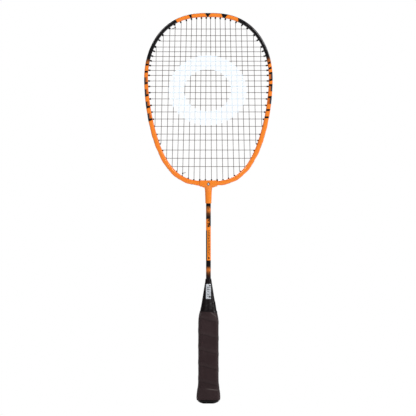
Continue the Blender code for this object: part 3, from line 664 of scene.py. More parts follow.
def make_shaft_paint():
    """Black, with scratchy orange fades and a field of generic marks."""
    look = Look("shaft_paint", roughness=0.30, Specular_IOR_Level=0.12)
    x, _, z = look.split(look.place())
    low, high = SHAFT_BANDS[0][0], SHAFT_BANDS[-1][0]
    share = look.math("DIVIDE", look.minus(z, low), high - low)
    base = look.stops(share, [((level - low) / (high - low), colour)
                              for level, colour in SHAFT_BANDS])
    field = look.within(z, FIELD)
    blotches = look.both(look.ramp(look.noise(520.0, 1.0), 0.46, 0.52),
                         look.ramp(x, -0.0016, -0.0012), look.within(z, BLOTCHES))
    step = look.math("FRACT", look.math("DIVIDE", z, 0.0023))
    specks = look.both(look.band(step, 0.5, 0.31, 0.06), look.band(x, 0.0008, 0.0016, 0.0002),
                       look.ramp(look.noise(900.0, 1.0), 0.34, 0.46), look.within(z, SPECKS), 0.85)
    rise = look.math("MULTIPLY_ADD", look.minus(z, 0.2134), 0.45, -0.0012)
    wedge = look.both(look.ramp(rise, -0.0008, -0.0006), look.band(x, 0.0006, 0.0010, 0.0002),
                      look.within(z, WEDGE))
    left = look.both(look.ramp(x, -0.0018, -0.0020), look.within(z, LEFT_EDGE))
    right = look.both(look.ramp(x, 0.0014, 0.0016), look.within(z, RIGHT_EDGE))
    outside = look.minus(1.0, field)
    scratches = look.both(outside, look.ramp(look.noise(1100.0, 3.0, look.stretched(0.18)),
                                             0.48, 0.60), 0.75)
    marks = look.both(field, look.either(blotches, specks, wedge, left, right))
    look.set("Base Color", look.mix(look.either(marks, scratches), base, BLACK))
    look.coat(0.35, 0.08)
    return look.material


# Plain dark plastics: colour, specular level, noise and range of the
# roughness, and noise, depth and strength of the bumps.
PLASTICS = {
    "cone_plastic": ((0.0050, 0.0028, 0.0034, 1), 0.12, (180.0, 4.0, 0.32, 0.48),
                     (350.0, 3.0), 0.00003, 0.35),
    "cap_plastic": ((0.0030, 0.0024, 0.0026, 1), 0.12, (400.0, 3.0, 0.34, 0.50),
                    (1800.0, 2.0), 0.00004, 0.5),
    "bushing_nylon": ((0.0040, 0.0030, 0.0035, 1), 0.15, (900.0, 2.0, 0.36, 0.52),
                      (2500.0, 2.0), 0.00002, 0.4),
}


def make_plastic(name):
    colour, specular, roughness, grain, depth, strength = PLASTICS[name]
    look = Look(name, colour, Specular_IOR_Level=specular)
    look.vary_roughness(*roughness)
    look.bump(look.noise(*grain), depth, strength)
    return look.material


def make_leather():
    """Brownish black grip tape: fine grain, small dark perforations, a lighter
    tone where the turns' edges are worn, a painted highlight on the facet
    edges and creases, and painted shade along the seams."""
    look = Look("grip_leather")
    place = look.place()
    grain = look.noise(2600.0, 4.0, place, 0.6)
    cells = look.node("TexVoronoi", {"Vector": place, "Scale": 1500.0}, feature="DISTANCE_TO_EDGE")
    pores = look.node("TexVoronoi", {"Vector": place, "Scale": 420.0, "Randomness": 0.25})
    hole = look.ramp(pores.outputs["Distance"], 0.24, 0.16)
    stain = look.ramp(look.noise(45.0, 4.0), 0.35, 0.7)
    base = look.mix(stain, (0.0195, 0.0100, 0.0108, 1), (0.0255, 0.0140, 0.0150, 1))
    # Painted shade: the seams between the tape's turns are darkened.
    base = look.mix(look.times(look.stored("seam"), 0.6), base, (0.005, 0.003, 0.003, 1))
    # Lighter tone: wear on the turns' edges, and painted highlight on the facet edges and creases.
    base = look.mix(look.times(look.stored("rubbed"), 0.50), base, (0.100, 0.084, 0.080, 1))
    look.set("Base Color", look.mix(look.times(hole, 0.7), base, (0.008, 0.006, 0.006, 1)))
    look.set("Roughness", look.ramp(grain, 0.3, 0.7, 0.52, 0.72))
    raised = look.math("ADD", look.times(grain, 0.5), look.ramp(cells.outputs["Distance"], 0.0, 0.25))
    look.bump(look.minus(raised, hole), 0.00010, 0.55)
    look.set("Specular IOR Level", 0.12)
    look.set("Sheen Weight", 0.01)
    look.set("Sheen Roughness", 0.5)
    return look.material


def make_tape_film():
    look = Look("finishing_film", (0.0055, 0.0034, 0.0040, 1), Specular_IOR_Level=0.14)
    look.vary_roughness(130.0, 4.0, 0.24, 0.42)
    look.bump(look.noise(420.0, 3.0, look.stretched(0.35)), 0.00012, 0.4)
    return look.material


def make_label_film():
    """Silvery film with broken lines, a dot and a block, which say nothing."""
    look = Look("label_film", roughness=0.34)
    x, _, z = look.split(look.place())
    low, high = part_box("cone_label")
    middle, half = (low.z + high.z) / 2, (high.z - low.z) / 2
    brushed = look.stretched(0.05)
    base = look.mix(look.noise(3000.0, 2.0, brushed), (0.30, 0.32, 0.35, 1), (0.62, 0.65, 0.69, 1))
    line = look.math("FRACT", look.math("DIVIDE", look.minus(z, low.z), 0.0026))
    broken = look.ramp(look.noise(700.0, 1.0), 0.36, 0.44)
    lines = look.both(look.band(line, 0.5, 0.27, 0.08), look.band(x, 0.0004, 0.0026, 0.0001), broken,
                      look.band(z, middle, half - 0.0034, 0.0001), 0.85)
    rule = look.both(look.band(x, 0.0036, 0.0002), look.band(z, middle, half - 0.0020), 0.5)
    dot = look.both(look.band(x, 0.0020, 0.0013, 0.0002),
                    look.band(z, high.z - 0.0026, 0.0013, 0.0002))
    block = look.both(look.band(x, 0.0020, 0.0015, 0.0002),
                      look.band(z, low.z + 0.0034, 0.0015, 0.0002))
    aside = look.size(x)
    away = look.size(look.minus(z, middle))
    rim = look.either(look.ramp(aside, high.x - 0.0006, high.x - 0.0005),
                      look.ramp(away, half - 0.0006, half - 0.0005))
    ink = look.either(lines, rule, dot, block, rim)
    look.set("Base Color", look.mix(ink, base, (0.012, 0.012, 0.014, 1)))
    look.coat(0.4, 0.15)
    return look.material


# An elliptical ring across the strings: its middle, its outer half-width and
# half-height, and its inner edge's share of them.
STENCIL_CENTRE = (-0.0012, 0.4650)
STENCIL_RADII = (0.0580, 0.0520)
STENCIL_INNER = 0.60


def make_nylon():
    """Dark string with a pale blue ring stencilled across the bed."""
    look = Look("string_nylon", roughness=0.34)
    place = look.place()
    away = look.node("VectorMath", {0: place, 1: (STENCIL_CENTRE[0], 0.0, STENCIL_CENTRE[1])},
                     operation="SUBTRACT").outputs[0]
    scale = (1 / STENCIL_RADII[0], 0.0, 1 / STENCIL_RADII[1])
    flat = look.node("VectorMath", {0: away, 1: scale}, operation="MULTIPLY").outputs[0]
    radius = look.node("VectorMath", {0: flat}, operation="LENGTH").outputs["Value"]
    spray = look.math("MULTIPLY_ADD", look.minus(look.noise(700.0, 2.0), 0.5), 0.030, radius)
    ring = look.band(spray, (1 + STENCIL_INNER) / 2, (1 - STENCIL_INNER) / 2, 0.006)
    dark = look.mix(look.noise(900.0, 2.0), (0.036, 0.023, 0.022, 1), (0.056, 0.038, 0.036, 1))
    pale = look.mix(look.noise(400.0, 3.0), (0.52, 0.66, 0.80, 1), (0.66, 0.77, 0.87, 1))
    look.set("Base Color", look.mix(ring, dark, pale))
    look.bump(look.noise(5200.0, 1.0), 0.00003, 0.5)
    return look.material


def make_wood():
    look = Look("core_wood", roughness=0.6)
    lines = look.noise(700.0, 5.0, look.stretched(0.04), 0.65)
    look.set("Base Color", look.mix(lines, (0.50, 0.31, 0.16, 1), (0.72, 0.52, 0.31, 1)))
    look.bump(lines, 0.00010, 0.4)
    return look.material


# ---------------- head frame

def section_outline():
    """Outline of the hoop tube, rounded, with its outer groove: (y, out)."""
    depth = half_hoop_depth()
    lip = GROOVE_HALF_WIDTH + 0.0001
    return mirrored([(GROOVE_HALF_WIDTH, GROOVE_FLOOR, 0.0003), (lip, OUTER, 0.00035),
                     (depth, OUTER, 0.0022), (depth, -OUTER, 0.0030)])


def scallop(along):
    """How far the flanges dip at a distance along the hoop: between the
    holes of the head's lower half."""
    z = line_point(along)[1]
    fade = np.clip((SCALLOP_TOP + SCALLOP_FADE - z) / SCALLOP_FADE, 0, 1)
    holes = np.array([hole for hole, _ in HOLES])
    place = np.interp(along, holes, np.arange(len(holes)), left=0, right=len(holes) - 1)
    return SCALLOP_DEPTH * fade * (0.5 + 0.5 * np.cos(pi * place))


def make_hoop(look):
    depths, outs = section_outline().T[:, None]
    along = np.linspace(HOOP_END_GAP / 2, LENGTH - HOOP_END_GAP / 2, round(LENGTH / RING_STEP))
    narrow = np.where(outs < 0, inner_side(along)[:, None] / OUTER, 1)
    dips = scallop(along)[:, None] * np.clip(outs / OUTER, 0, 1) ** 2
    flange = outs > GROOVE_FLOOR + 0.0004
    rings = on_hoop(along[:, None], outs * narrow - np.where(flange, dips, 0), depths)
    hoop = add("hoop", ring_mesh("hoop", rings))
    drills = [rod(hole, OUTER + 0.001, -OUTER - 0.001, barrel_radius(proud) + 0.00008)
              for hole, proud in HOLES]
    cut(hoop, joined("drills", drills), solver="MANIFOLD")
    tag_hoop(hoop.data)
    return dress(hoop, look, ["head_frame"], 0.7)


# ---------------- grommets

def grommet_holes(name):
    """The two barrels of a CAD grommet: distance along, and inner end."""
    points = np.array([v.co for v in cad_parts[name].data.vertices])
    along, out = hoop_coordinates(points)
    inner = along[out < -OUTER - 0.0002]
    middle = (inner.min() + inner.max()) / 2
    found = []
    for group in (inner[inner < middle], inner[inner >= middle]):
        near = np.abs(along - group.mean()) < 0.002
        found.append(((group.min() + group.max()) / 2, -OUTER - out[near].min()))
    return found


GROMMETS = sorted(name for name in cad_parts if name.startswith("grommet"))
GROMMET_HOLES = {name: grommet_holes(name) for name in GROMMETS}
HOLES = sorted(hole for holes in GROMMET_HOLES.values() for hole in holes)


def is_shared(proud):
    return proud < (BARREL_PROUD + SHARED_BARREL_PROUD) / 2


def bore_radius(proud):
    return SHARED_BORE_RADIUS if is_shared(proud) else BORE_RADIUS


def barrel_radius(proud):
    return bore_radius(proud) + BARREL_WALL


def web_rings(start, end):
    """A rounded strip along the groove's floor."""
    section = mirrored([(WEB_HALF_WIDTH, WEB_BOTTOM, 0.00012), (WEB_HALF_WIDTH, WEB_TOP, 0.00025)], 3)
    steps = max(6, round((end - start) / 0.0008))
    rings = []
    for i in range(steps + 1):
        along = start + (end - start) * i / steps
        from_end = min(along - start, end - along)
        round_off = min(1.0, from_end / WEB_HALF_WIDTH)
        narrow = max(0.25, (1 - (1 - round_off) ** 2) ** 0.5)
        rings.append(on_hoop(np.full(len(section), along), section[:, 1], section[:, 0] * narrow))
    return rings


def make_grommet(name, look):
    (first, _), (second, _) = GROMMET_HOLES[name]
    web = ring_mesh("web", web_rings(first - WEB_END, second + WEB_END))
    obj = add(name.replace("grommet", "bushing"), web)
    bores = []
    for hole, proud in GROMMET_HOLES[name]:
        barrel = rod(hole, WEB_TOP - 0.00015, -OUTER - proud, barrel_radius(proud), 0.00012)
        cut(obj, barrel, "UNION", "MANIFOLD")
        bores.append(rod(hole, OUTER, -OUTER - proud - 0.0005, bore_radius(proud)))
    cut(obj, joined("bores", bores), solver="MANIFOLD")
    return dress(obj, look, [name], 0.6)


# ---------------- string

def left_roles():
    """What each hole of the left side holds, from the bottom up."""
    roles = [[("bottom", n)] for n in range(1, 7)]
    roles += [[("bottom", 7), ("cross", 23)], [("bottom", 8), ("cross", 22)], [("cross", 21)],
              [("bottom", 9)], [("cross", 20)], [("cross", 19)], [("bottom", 10), ("cross", 18)]]
    roles += [[("cross", n)] for n in range(17, 4, -1)]
    roles += [[("top", 10), ("cross", 4)], [("cross", 3)], [("top", 9), ("cross", 2)],
              [("top", 8), ("cross", 1)]]
    return roles + [[("top", n)] for n in range(7, 0, -1)]


def hole_of():
    """(side, kind, number): the hole's index."""
    found = {}
    for i, uses in enumerate(left_roles()):
        for use in uses:
            found[("left",) + use] = i
            found[("right",) + use] = len(HOLES) - 1 - i
    return found


HOLE_OF = hole_of()
DOUBLE = {i for i in HOLE_OF.values() if list(HOLE_OF.values()).count(i) > 1}


def string_y(index, kind):
    if not is_shared(HOLES[index][1]):
        return 0.0
    return SIDE_BY_SIDE if kind == "cross" else -SIDE_BY_SIDE


def mouth(index, kind):
    """Where a string leaves a barrel inside the head."""
    distance, proud = HOLES[index]
    place = Vector(on_hoop(distance, -OUTER - proud - MOUTH_BEND, string_y(index, kind)))
    if index in DOUBLE:
        along = Vector(on_hoop(distance + TURN)) - Vector(on_hoop(distance - TURN))
        pull = Vector((0, 0, HEAD_WIDEST - place.z)) if kind == "main" else Vector((-place.x, 0, 0))
        place += along.normalized() * (SPREAD_APART if pull.dot(along) > 0 else -SPREAD_APART)
    return place


def rounded(points):
    """Cuts a path's corners twice, keeping its ends."""
    for _ in range(2):
        cuts = [points[0]]
        for a, b in zip(points, points[1:]):
            cuts += [a.lerp(b, 0.25), a.lerp(b, 0.75)]
        points = cuts + [points[-1]]
    return points


def outside_run(start, end, start_kind, end_kind, lane=None):
    """Out through one hole, along the groove and in through another."""
    a, b = HOLES[start][0], HOLES[end][0]
    way = 1 if b > a else -1
    lanes = {"cross": LANE, "main": -LANE}
    points = [mouth(start, start_kind), Vector(on_hoop(a, WEB_TOP, string_y(start, start_kind))),
              Vector(on_hoop(a + way * TURN, STRING_IN_GROOVE, lanes[start_kind]))]
    between = [(HOLES[i][0] + HOLES[i + way][0]) / 2 for i in range(start, end, way)]
    passed = [HOLES[i][0] for i in range(start + way, end, way)]
    for distance in sorted(between + passed, reverse=way < 0):
        points.append(Vector(on_hoop(distance, STRING_IN_GROOVE, lane or lanes[start_kind])))
    points += [Vector(on_hoop(b - way * TURN, STRING_IN_GROOVE, lanes[end_kind])),
               Vector(on_hoop(b, WEB_TOP, string_y(end, end_kind))), mouth(end, end_kind)]
    return rounded(points)


MAINS = ([("left", n) for n in range(MAINS_PER_SIDE, 0, -1)]
         + [("right", n) for n in range(1, MAINS_PER_SIDE + 1)])


def main_ends(place):
    side, number = MAINS[place]
    return [mouth(HOLE_OF[side, end, number], "main") for end in ("top", "bottom")]


def cross_ends(number):
    return [mouth(HOLE_OF[side, "cross", number], "cross") for side in ("left", "right")]


def crossing(place, number):
    """Shares of a main and of a cross where they meet, or None."""
    top, bottom = main_ends(place)
    left, right = cross_ends(number)
    down, across = bottom - top, right - left
    area = down.x * across.z - down.z * across.x
    gap = left - top
    on_main = (gap.x * across.z - gap.z * across.x) / area
    on_cross = (gap.x * down.z - gap.z * down.x) / area
    return (on_main, on_cross) if 0 < on_main < 1 and 0 < on_cross < 1 else None


CROSSINGS = {(place, number): crossing(place, number)
             for place in range(len(MAINS)) for number in range(1, CROSSES + 1)}


def woven(start, end, meetings):
    """Points from one end to the other, over and under at each meeting, a
    (share, offset along Y). They leave out both ends."""
    stops = [(0.0, start.y)] + sorted(meetings) + [(1.0, end.y)]
    points = []
    for (a, low), (b, high) in zip(stops, stops[1:]):
        for i in range(STEPS_PER_CROSSING):
            share = i / STEPS_PER_CROSSING
            ease = (1 - cos(pi * share)) / 2
            point = start.lerp(end, a + (b - a) * share)
            point.y = low + (high - low) * ease
            points.append(point)
    return points[1:]


def main_points(place):
    meetings = [(CROSSINGS[place, n][0], WEAVE * (-1) ** (place + n))
                for n in range(1, CROSSES + 1) if CROSSINGS[place, n]]
    return woven(*main_ends(place), meetings)


def cross_points(number):
    meetings = [(CROSSINGS[p, number][1], -WEAVE * (-1) ** (p + number))
                for p in range(len(MAINS)) if CROSSINGS[p, number]]
    return woven(*cross_ends(number), meetings)


def knot(main, end):
    """The string's end wound round a main, with a loose tail."""
    top, bottom = main_ends([i for i, m in enumerate(MAINS) if m == ("left", main)][0])
    start, finish = (top, bottom) if end == "top" else (bottom, top)
    along = (finish - start).normalized()
    across = along.cross(Vector((0, 1, 0))).normalized()
    points = []
    for i in range(KNOT_SIDES * KNOT_TURNS + 1):
        turn = pi / 2 + 2 * pi * i / KNOT_SIDES
        side = across * cos(turn) + Vector((0, 1, 0)) * sin(turn)
        points.append(start + along * (KNOT_START + KNOT_PITCH * i / KNOT_SIDES) + side * KNOT_RADIUS)
    last = points[-1]
    return points + [last - across * TAIL * 0.4, last - across * TAIL + along * KNOT_PITCH]


def string_route():
    tie = HOLE_OF["left", "top", TIE_OFF_TOP_MAIN]
    route = knot(TIE_OFF_TOP_MAIN, "top")[::-1]
    route += outside_run(tie, HOLE_OF["left", "top", MAINS_PER_SIDE], "cross", "main", lane=-OUTER_LANE)
    for place, (side, number) in enumerate(MAINS):
        down = place % 2 == 0
        points = main_points(place)
        route += points if down else points[::-1]
        if place < len(MAINS) - 1:
            end = "bottom" if down else "top"
            next_side, next_number = MAINS[place + 1]
            route += outside_run(HOLE_OF[side, end, number], HOLE_OF[next_side, end, next_number],
                                 "main", "main")
    route += outside_run(HOLE_OF["right", "top", MAINS_PER_SIDE], HOLE_OF["right", "cross", 1],
                         "main", "cross", lane=OUTER_LANE)
    for number in range(1, CROSSES + 1):
        points = cross_points(number)
        route += points[::-1] if number % 2 else points
        if number < CROSSES:
            side = "left" if number % 2 else "right"
            route += outside_run(HOLE_OF[side, "cross", number], HOLE_OF[side, "cross", number + 1],
                                 "cross", "cross")
    tie = HOLE_OF["left", "bottom", TIE_OFF_BOTTOM_MAIN]
    route += outside_run(HOLE_OF["left", "cross", CROSSES], tie, "cross", "cross", lane=OUTER_LANE)
    return route + knot(TIE_OFF_BOTTOM_MAIN, "bottom")


def make_string(look):
    curve = bpy.data.curves.new("string_bed", "CURVE")
    curve.dimensions = "3D"
    curve.bevel_depth = STRING_RADIUS
    curve.bevel_resolution = 2
    curve.use_fill_caps = True
    route = string_route()
    spline = curve.splines.new("POLY")
    spline.points.add(len(route) - 1)
    for place, point in zip(spline.points, route):
        place.co = (*point, 1)
    obj = add("string_guide", curve)
    mesh = evaluated(obj)
    bpy.data.objects.remove(obj)
    work = bmesh.new()
    work.from_mesh(mesh)
    bmesh.ops.remove_doubles(work, verts=work.verts, dist=1e-7)
    work.to_mesh(mesh)
    work.free()
    return piece("string_bed", mesh, look, ["string"], 1.2)


# ---------------- T-joint and shaft

def sleeve_rings(half_length, more, steps):
    """A skin round the hoop's bottom, more than the hoop all round."""
    depth, out = half_hoop_depth() + more, OUTER + more
    section = mirrored([(depth, out, 0.0024), (depth, -out, 0.0030)], 8)
    return [on_hoop(np.full(len(section), half_length * i / steps), section[:, 1], section[:, 0])
            for i in range(-steps, steps + 1)]


def make_joint(look):
    low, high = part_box("throat_joint")
    half_length = high.x - 0.0002
    body = add("t_joint", ring_mesh("sleeve", sleeve_rings(half_length, SLEEVE_WALL, 16)))
    outline = mirrored(WING_CORNERS, 4)
    plate = [[(x, y, z) for x, z in outline] for y in (-WING_HALF_DEPTH, WING_HALF_DEPTH)]
    cut(body, ring_mesh("plate", plate), "UNION")
    profile = [(radius, z - low.z) for z, radius in SOCKET_PROFILE]
    cut(body, turned("socket", profile, (0, 0, low.z), (0, 0, 1), ROUND_SIDES), "UNION")
    remesh = body.modifiers.new("remesh", "REMESH")
    remesh.mode = "VOXEL"
    remesh.voxel_size = JOINT_VOXEL
    smooth = body.modifiers.new("smooth", "SMOOTH")
    smooth.factor = 0.5
    smooth.iterations = JOINT_SMOOTHING
    apply_modifiers(body)
    cut(body, ring_mesh("channel", sleeve_rings(half_length * 1.5, SLEEVE_CLEARANCE, 24)))
    profile = [(SOCKET_BORE, 0), (SOCKET_BORE, SOCKET_BORE_LENGTH)]
    cut(body, turned("bore", profile, (0, 0, low.z - 0.001), (0, 0, 1), ROUND_SIDES))
    drills = [rod(hole, 0.0, -OUTER - 0.003, barrel_radius(proud) + 0.0001)
              for hole, proud in HOLES if min(hole, LENGTH - hole) < half_length + 0.002]
    cut(body, joined("drills", drills))
    return dress(body, look, ["throat_joint"], 0.9)


def make_shaft(look):
    low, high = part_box("shaft")
    radius, rim = high.x, high.x - SHAFT_EDGE
    outside = [(rim, low.z), (radius, low.z + SHAFT_EDGE), (radius, high.z - SHAFT_EDGE), (rim, high.z)]
    inside = [(SHAFT_BORE, high.z), (SHAFT_BORE, low.z)]
    turns = [2 * pi * i / ROUND_SIDES for i in range(ROUND_SIDES)]
    rings = [[(r * cos(t), r * sin(t), z) for t in turns] for r, z in outside + inside]
    mesh = ring_mesh("shaft_tube", rings, cyclic=True)
    return piece("shaft_tube", mesh, look, ["shaft"])


# ---------------- handle

def eased(z, profile, blur=0.0015):
    """A profile's half-width at heights, its corners blurred."""
    z = np.asarray(z, float)
    offsets = np.linspace(-blur, blur, 5)
    widths = [np.interp(z + offset, profile[:, 0], profile[:, 1]) for offset in offsets]
    return sum(widths) / len(offsets)


def half_depth(wide):
    return np.where(wide < CORE_HALF_WIDTH, CORE_HALF_DEPTH * wide / CORE_HALF_WIDTH,
                    CORE_HALF_DEPTH + wide - CORE_HALF_WIDTH)


def facets(angle, wide, deep):
    """How close angles from the front are to each facet of an octagon: the
    side, front and slanted ones."""
    scale = wide / CORE_HALF_WIDTH
    front, side = FRONT_FACET * scale, SIDE_FACET * scale
    x, y = np.abs(np.sin(angle)), np.abs(np.cos(angle))
    across, down = deep - side, wide - front
    return [x / wide, y / deep, (x * across + y * down) / (wide * across + side * down)]


def section_radius(angle, wide, deep, sharpness):
    """Distance from the axis to a softened octagon, at angles from the front."""
    return sum(part ** sharpness for part in facets(angle, wide, deep)) ** (-1 / sharpness)


ANGLES = 2 * pi * np.arange(SIDES) / SIDES


def around(radius, z, angle=ANGLES):
    """Points of a ring: angles are from the front, towards +X."""
    radius, z = np.broadcast_arrays(radius, z)
    return np.stack([radius * np.sin(angle), -radius * np.cos(angle), z + 0 * radius], axis=-1)


def roundness(z):
    return np.interp(z, CONE_PROFILE[:, 0], CONE_PROFILE[:, 2])


def handle_radius(z, angle, wide, sharpness):
    """An octagon at the bottom, round from the grip up."""
    octagon = section_radius(angle, wide, half_depth(wide), sharpness)
    return octagon * (1 - roundness(z)) + wide * roundness(z)


def cone_radius(z, angle=ANGLES):
    return handle_radius(z, angle, eased(z, CONE_PROFILE), 40)


def grip_width(z):
    return eased(z, GRIP_PROFILE, 0.0022)


def grip_radius(z, angle=ANGLES):
    return handle_radius(z, angle, grip_width(z), 30)


def ring_noise(z, around_scale, up_scale):
    """Noise round the handle, at one height or at one for each angle."""
    return np.array([noise.noise(Vector((sin(a) * around_scale, cos(a) * around_scale, h * up_scale)))
                     for h, a in zip(np.broadcast_to(z, SIDES), ANGLES)])


def make_cone(look):
    low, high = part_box("handle_cone")
    outside = [around(cone_radius(z), z) for z in np.linspace(low.z, high.z - 0.0006, 90)]
    outside += [around(cone_radius(high.z - drop) - inset, high.z - drop)
                for drop, inset in ((0.0003, 0.00006), (0.0001, 0.0002), (0.0, 0.0004))]
    inside = [around(np.full(SIDES, radius), z)
              for radius, z in ((CONE_BORE, high.z), (CONE_BORE, PEG_TOP), (PEG_BORE, PEG_TOP),
                                (PEG_BORE, low.z))]
    mesh = ring_mesh("cone", outside + inside, cyclic=True)
    return piece("cone", mesh, look, ["handle_cone"])


# Where round the handle the two creases' painted highlights show.
RIGHTWARD = np.sin(ANGLES)
LOW_FOLD_SPAN = (np.clip((RIGHTWARD + 0.35) / 0.6, 0, 1) * np.clip((0.72 - RIGHTWARD) / 0.08, 0, 1)
                 * (np.cos(ANGLES) > 0))
TOP_FOLD_SPAN = (RIGHTWARD > 0.25) * (RIGHTWARD < 0.75) * (np.cos(ANGLES) > 0)


def crease_highlight(z, height, drop, thickness, strength):
    return strength * np.exp(-((z - height + drop * RIGHTWARD) / thickness) ** 2)


def seam(z):
    """1 along the line where a turn's edge meets the turn below it: where shade is painted on the grip.
    """
    lift = (z - WRAP_START) / WRAP_PITCH + ANGLES / (2 * pi)
    from_edge = np.abs(lift - np.round(lift))
    return np.exp(-(from_edge / 0.018) ** 2) * (z > FIRST_TURN_TOP)


def smooth_step(value):
    value = np.clip(value, 0, 1)
    return value * value * (3 - 2 * value)


def wrap_offset(z):
    """How proud the tape's turns stand round the grip at a height."""
    lift = (z - WRAP_START) / WRAP_PITCH + ANGLES / (2 * pi)
    phase = lift - np.floor(lift)
    edge = smooth_step(phase / 0.030)
    settle = smooth_step((phase - OVERLAP) / 0.14)
    crease = np.exp(-((phase - 1.0) / 0.02) ** 2) * 0.00012
    turns = TAPE_EDGE * edge * (1 - settle) - crease
    first = FIRST_TURN_TOP - FIRST_TURN_SLANT * RIGHTWARD
    above = np.clip((z - first) / FIRST_TURN_FADE, 0, 1)
    return turns * above + TAPE_EDGE * 0.8 * (1 - above)


def facet_edge_highlight(z):
    """1 on the edges between the front and the slanted facets, 0 off them: where a highlight is painted
    on the grip.
    """
    wide = grip_width(z)
    side, front, slanted = facets(ANGLES, wide, half_depth(wide))
    return np.exp(-((front - slanted) / 0.035) ** 2) * (front > side) * (1 - roundness(z))


def make_grip(look):
    low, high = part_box("grip_tape")
    heights = np.arange(low.z, high.z, GRIP_STEP)
    rings, rubbed, seam_shades = [], [], []
    for z in heights:
        rim = np.clip((z - low.z) / BUTT_EDGE, 0, 1)
        offset = wrap_offset(z) - TAPE_EDGE
        radius = (grip_radius(z) + offset + WAVE_HEIGHT * ring_noise(z, 2.2, 160)
                  - BUTT_EDGE * (1 - rim) ** 2)
        rings.append(around(radius, z))
        turn_edge = np.clip((offset + TAPE_EDGE) / TAPE_EDGE, 0, 1) ** 4
        # Lighter tone: worn turn edges, and painted highlight on the facet edges and along the creases.
        rubbed.append(np.maximum.reduce([0.1 * turn_edge, 0.6 * facet_edge_highlight(z),
                                         crease_highlight(z, *LOW_CREASE_HIGHLIGHT) * LOW_FOLD_SPAN,
                                         crease_highlight(z, *TOP_CREASE_HIGHLIGHT) * TOP_FOLD_SPAN]))
        # Where shade is painted along the seams.
        seam_shades.append(seam(z))
    inner_low = np.maximum(grip_radius(low.z) - GRIP_WALL, CORE_HALF_WIDTH)
    inside = [around(cone_radius(high.z) + 0.0003, heights[-1]),
              around(cone_radius(CORE_TOP + 0.0005) + 0.0003, CORE_TOP),
              around(inner_low, low.z + 0.02), around(inner_low, low.z)]
    mesh = ring_mesh("grip_wrap", rings + inside, cyclic=True)
    unseen = np.zeros(len(inside) * SIDES)
    store(mesh, "rubbed", np.concatenate([*rubbed, unseen]))
    store(mesh, "seam", np.concatenate([*seam_shades, unseen]))
    return piece("grip_wrap", mesh, look, ["grip_tape"], 0.9)


def make_tape(look):
    """The band over the grip's upper edge; it was wound at a slant."""
    low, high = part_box("finishing_tape")
    top = high.z + BAND_TOP[0] + BAND_TOP[1] * RIGHTWARD
    bottom = low.z + BAND_BOTTOM[0] + BAND_BOTTOM[1] * RIGHTWARD
    outside = []
    for i in range(BAND_ROWS + 1):
        z = bottom + (top - bottom) * i / BAND_ROWS
        grip = np.where(z < GRIP_UNDER_BAND, grip_radius(z) - TAPE_EDGE, 0.0)
        edge = min(min(i, BAND_ROWS - i) / 1.5, 1.0)
        outside.append(around(np.maximum(cone_radius(z), grip) + BAND_LIFT + BAND_THICKNESS * edge
                              + BAND_WRINKLES * ring_noise(z, 6, 260), z))
    inside = [around(cone_radius(z) + 0.00005, z) for z in (top, bottom)]
    mesh = ring_mesh("finishing_band", outside + inside, cyclic=True)
    return piece("finishing_band", mesh, look, ["finishing_tape"])


def make_cap(look):
    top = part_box("butt_cap")[1].z
    outside = [around(section_radius(ANGLES, wide, half_depth(wide), 26), z)
               for z, wide in CAP_PROFILE]
    inner = section_radius(ANGLES, CORE_HALF_WIDTH + 0.0003, CORE_HALF_DEPTH + 0.0003, 40)
    inside = [around(inner, top), around(inner, CAP_FLOOR)]
    mesh = ring_mesh("end_cap", outside + inside)
    return piece("end_cap", mesh, look, ["butt_cap"], 0.5)


def divided(outline, step=0.0007):
    """A closed outline with more points, so that it can follow a curve."""
    points = []
    for (x, up), (next_x, next_up) in zip(outline, outline[1:] + outline[:1]):
        parts = max(1, round(float(np.hypot(next_x - x, next_up - up)) / step))
        points += [(x + (next_x - x) * i / parts, up + (next_up - up) * i / parts)
                   for i in range(parts)]
    return points


def make_label(look):
    """A film with round corners, bent round the cone's front."""
    low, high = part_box("cone_label")
    half_width, half_height = high.x, (high.z - low.z) / 2
    outline = divided(fillet([(x, up, LABEL_CORNER) for x, up in (
        (half_width, half_height), (-half_width, half_height), (-half_width, -half_height),
        (half_width, -half_height))]))
    middle = (low.z + high.z) / 2

    def bent(share, lift):
        ring = []
        for x, up in outline:
            z = middle + up * share
            radius = float(cone_radius(z, 0.0)) + lift
            angle = x * share / radius
            ring.append((radius * sin(angle), -radius * cos(angle), z))
        return ring

    shares = [0.06, 0.2, 0.4, 0.6, 0.8, 0.94]
    rings = [bent(share, LABEL_FACE) for share in shares]
    rings += [bent(0.99, 0.00032), bent(1.0, 0.00024), bent(1.0, 0.00016)]
    rings += [bent(share, LABEL_BACK) for share in shares[::-1]]
    return piece("label_film", ring_mesh("label_film", rings), look, ["cone_label"])


# ---------------- stage

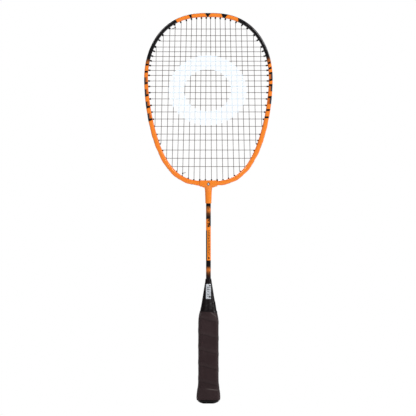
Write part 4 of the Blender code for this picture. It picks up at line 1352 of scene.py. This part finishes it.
def make_stage():
    """A pale floor, a bright even surround and soft lights."""
    bpy.ops.mesh.primitive_plane_add(size=8, location=(0, 0, -0.0004))
    floor = bpy.context.object
    floor.name = "floor"
    look = Look("floor_paper", roughness=0.8)
    look.set("Base Color", look.mix(look.noise(12.0), (0.86, 0.86, 0.86, 1), (0.90, 0.90, 0.90, 1)))
    floor.data.materials.append(look.material)
    world = bpy.context.scene.world or bpy.data.worlds.new("surround")
    bpy.context.scene.world = world
    world.use_nodes = True
    tree = world.node_tree
    seen = tree.nodes["Background"]
    lit = tree.nodes.new("ShaderNodeBackground")
    for node, colour, strength in ((seen, WHITE, 1.0), (lit, COOL_WHITE, SURROUND)):
        node.inputs["Color"].default_value = colour
        node.inputs["Strength"].default_value = strength
    path = tree.nodes.new("ShaderNodeLightPath")
    blend = tree.nodes.new("ShaderNodeMixShader")
    tree.links.new(path.outputs["Is Camera Ray"], blend.inputs[0])
    tree.links.new(lit.outputs[0], blend.inputs[1])
    tree.links.new(seen.outputs[0], blend.inputs[2])
    tree.links.new(blend.outputs[0], tree.nodes["World Output"].inputs["Surface"])
    for light in LIGHTS:
        add_light(*light)


def add_light(name, place, size, power):
    light = bpy.data.lights.new(name, "AREA")
    light.size = size
    light.energy = power
    obj = add(name, light)
    obj.location = place
    aim = Vector((0, 0, AIM_HEIGHT)) - Vector(place)
    obj.rotation_euler = aim.to_track_quat("-Z", "Y").to_euler()


def make_camera():
    camera = bpy.data.cameras.new("camera")
    camera.type = "ORTHO"
    camera.ortho_scale = CAMERA_WIDTH
    obj = add("camera", camera)
    obj.location = CAMERA_PLACE
    obj.rotation_euler = (pi / 2, 0, 0)
    bpy.context.scene.camera = obj
    bpy.context.scene.view_settings.view_transform = "Standard"


make_camera()
make_stage()
make_hoop(make_paint())
BUSHING = make_plastic("bushing_nylon")
for grommet in GROMMETS:
    make_grommet(grommet, BUSHING)
make_string(make_nylon())
make_joint(make_joint_paint())
make_shaft(make_shaft_paint())
make_cone(make_plastic("cone_plastic"))
make_grip(make_leather())
make_tape(make_tape_film())
make_cap(make_plastic("cap_plastic"))
make_label(make_label_film())
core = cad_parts["handle_core"]
core.data.materials.clear()
core.data.materials.append(make_wood())
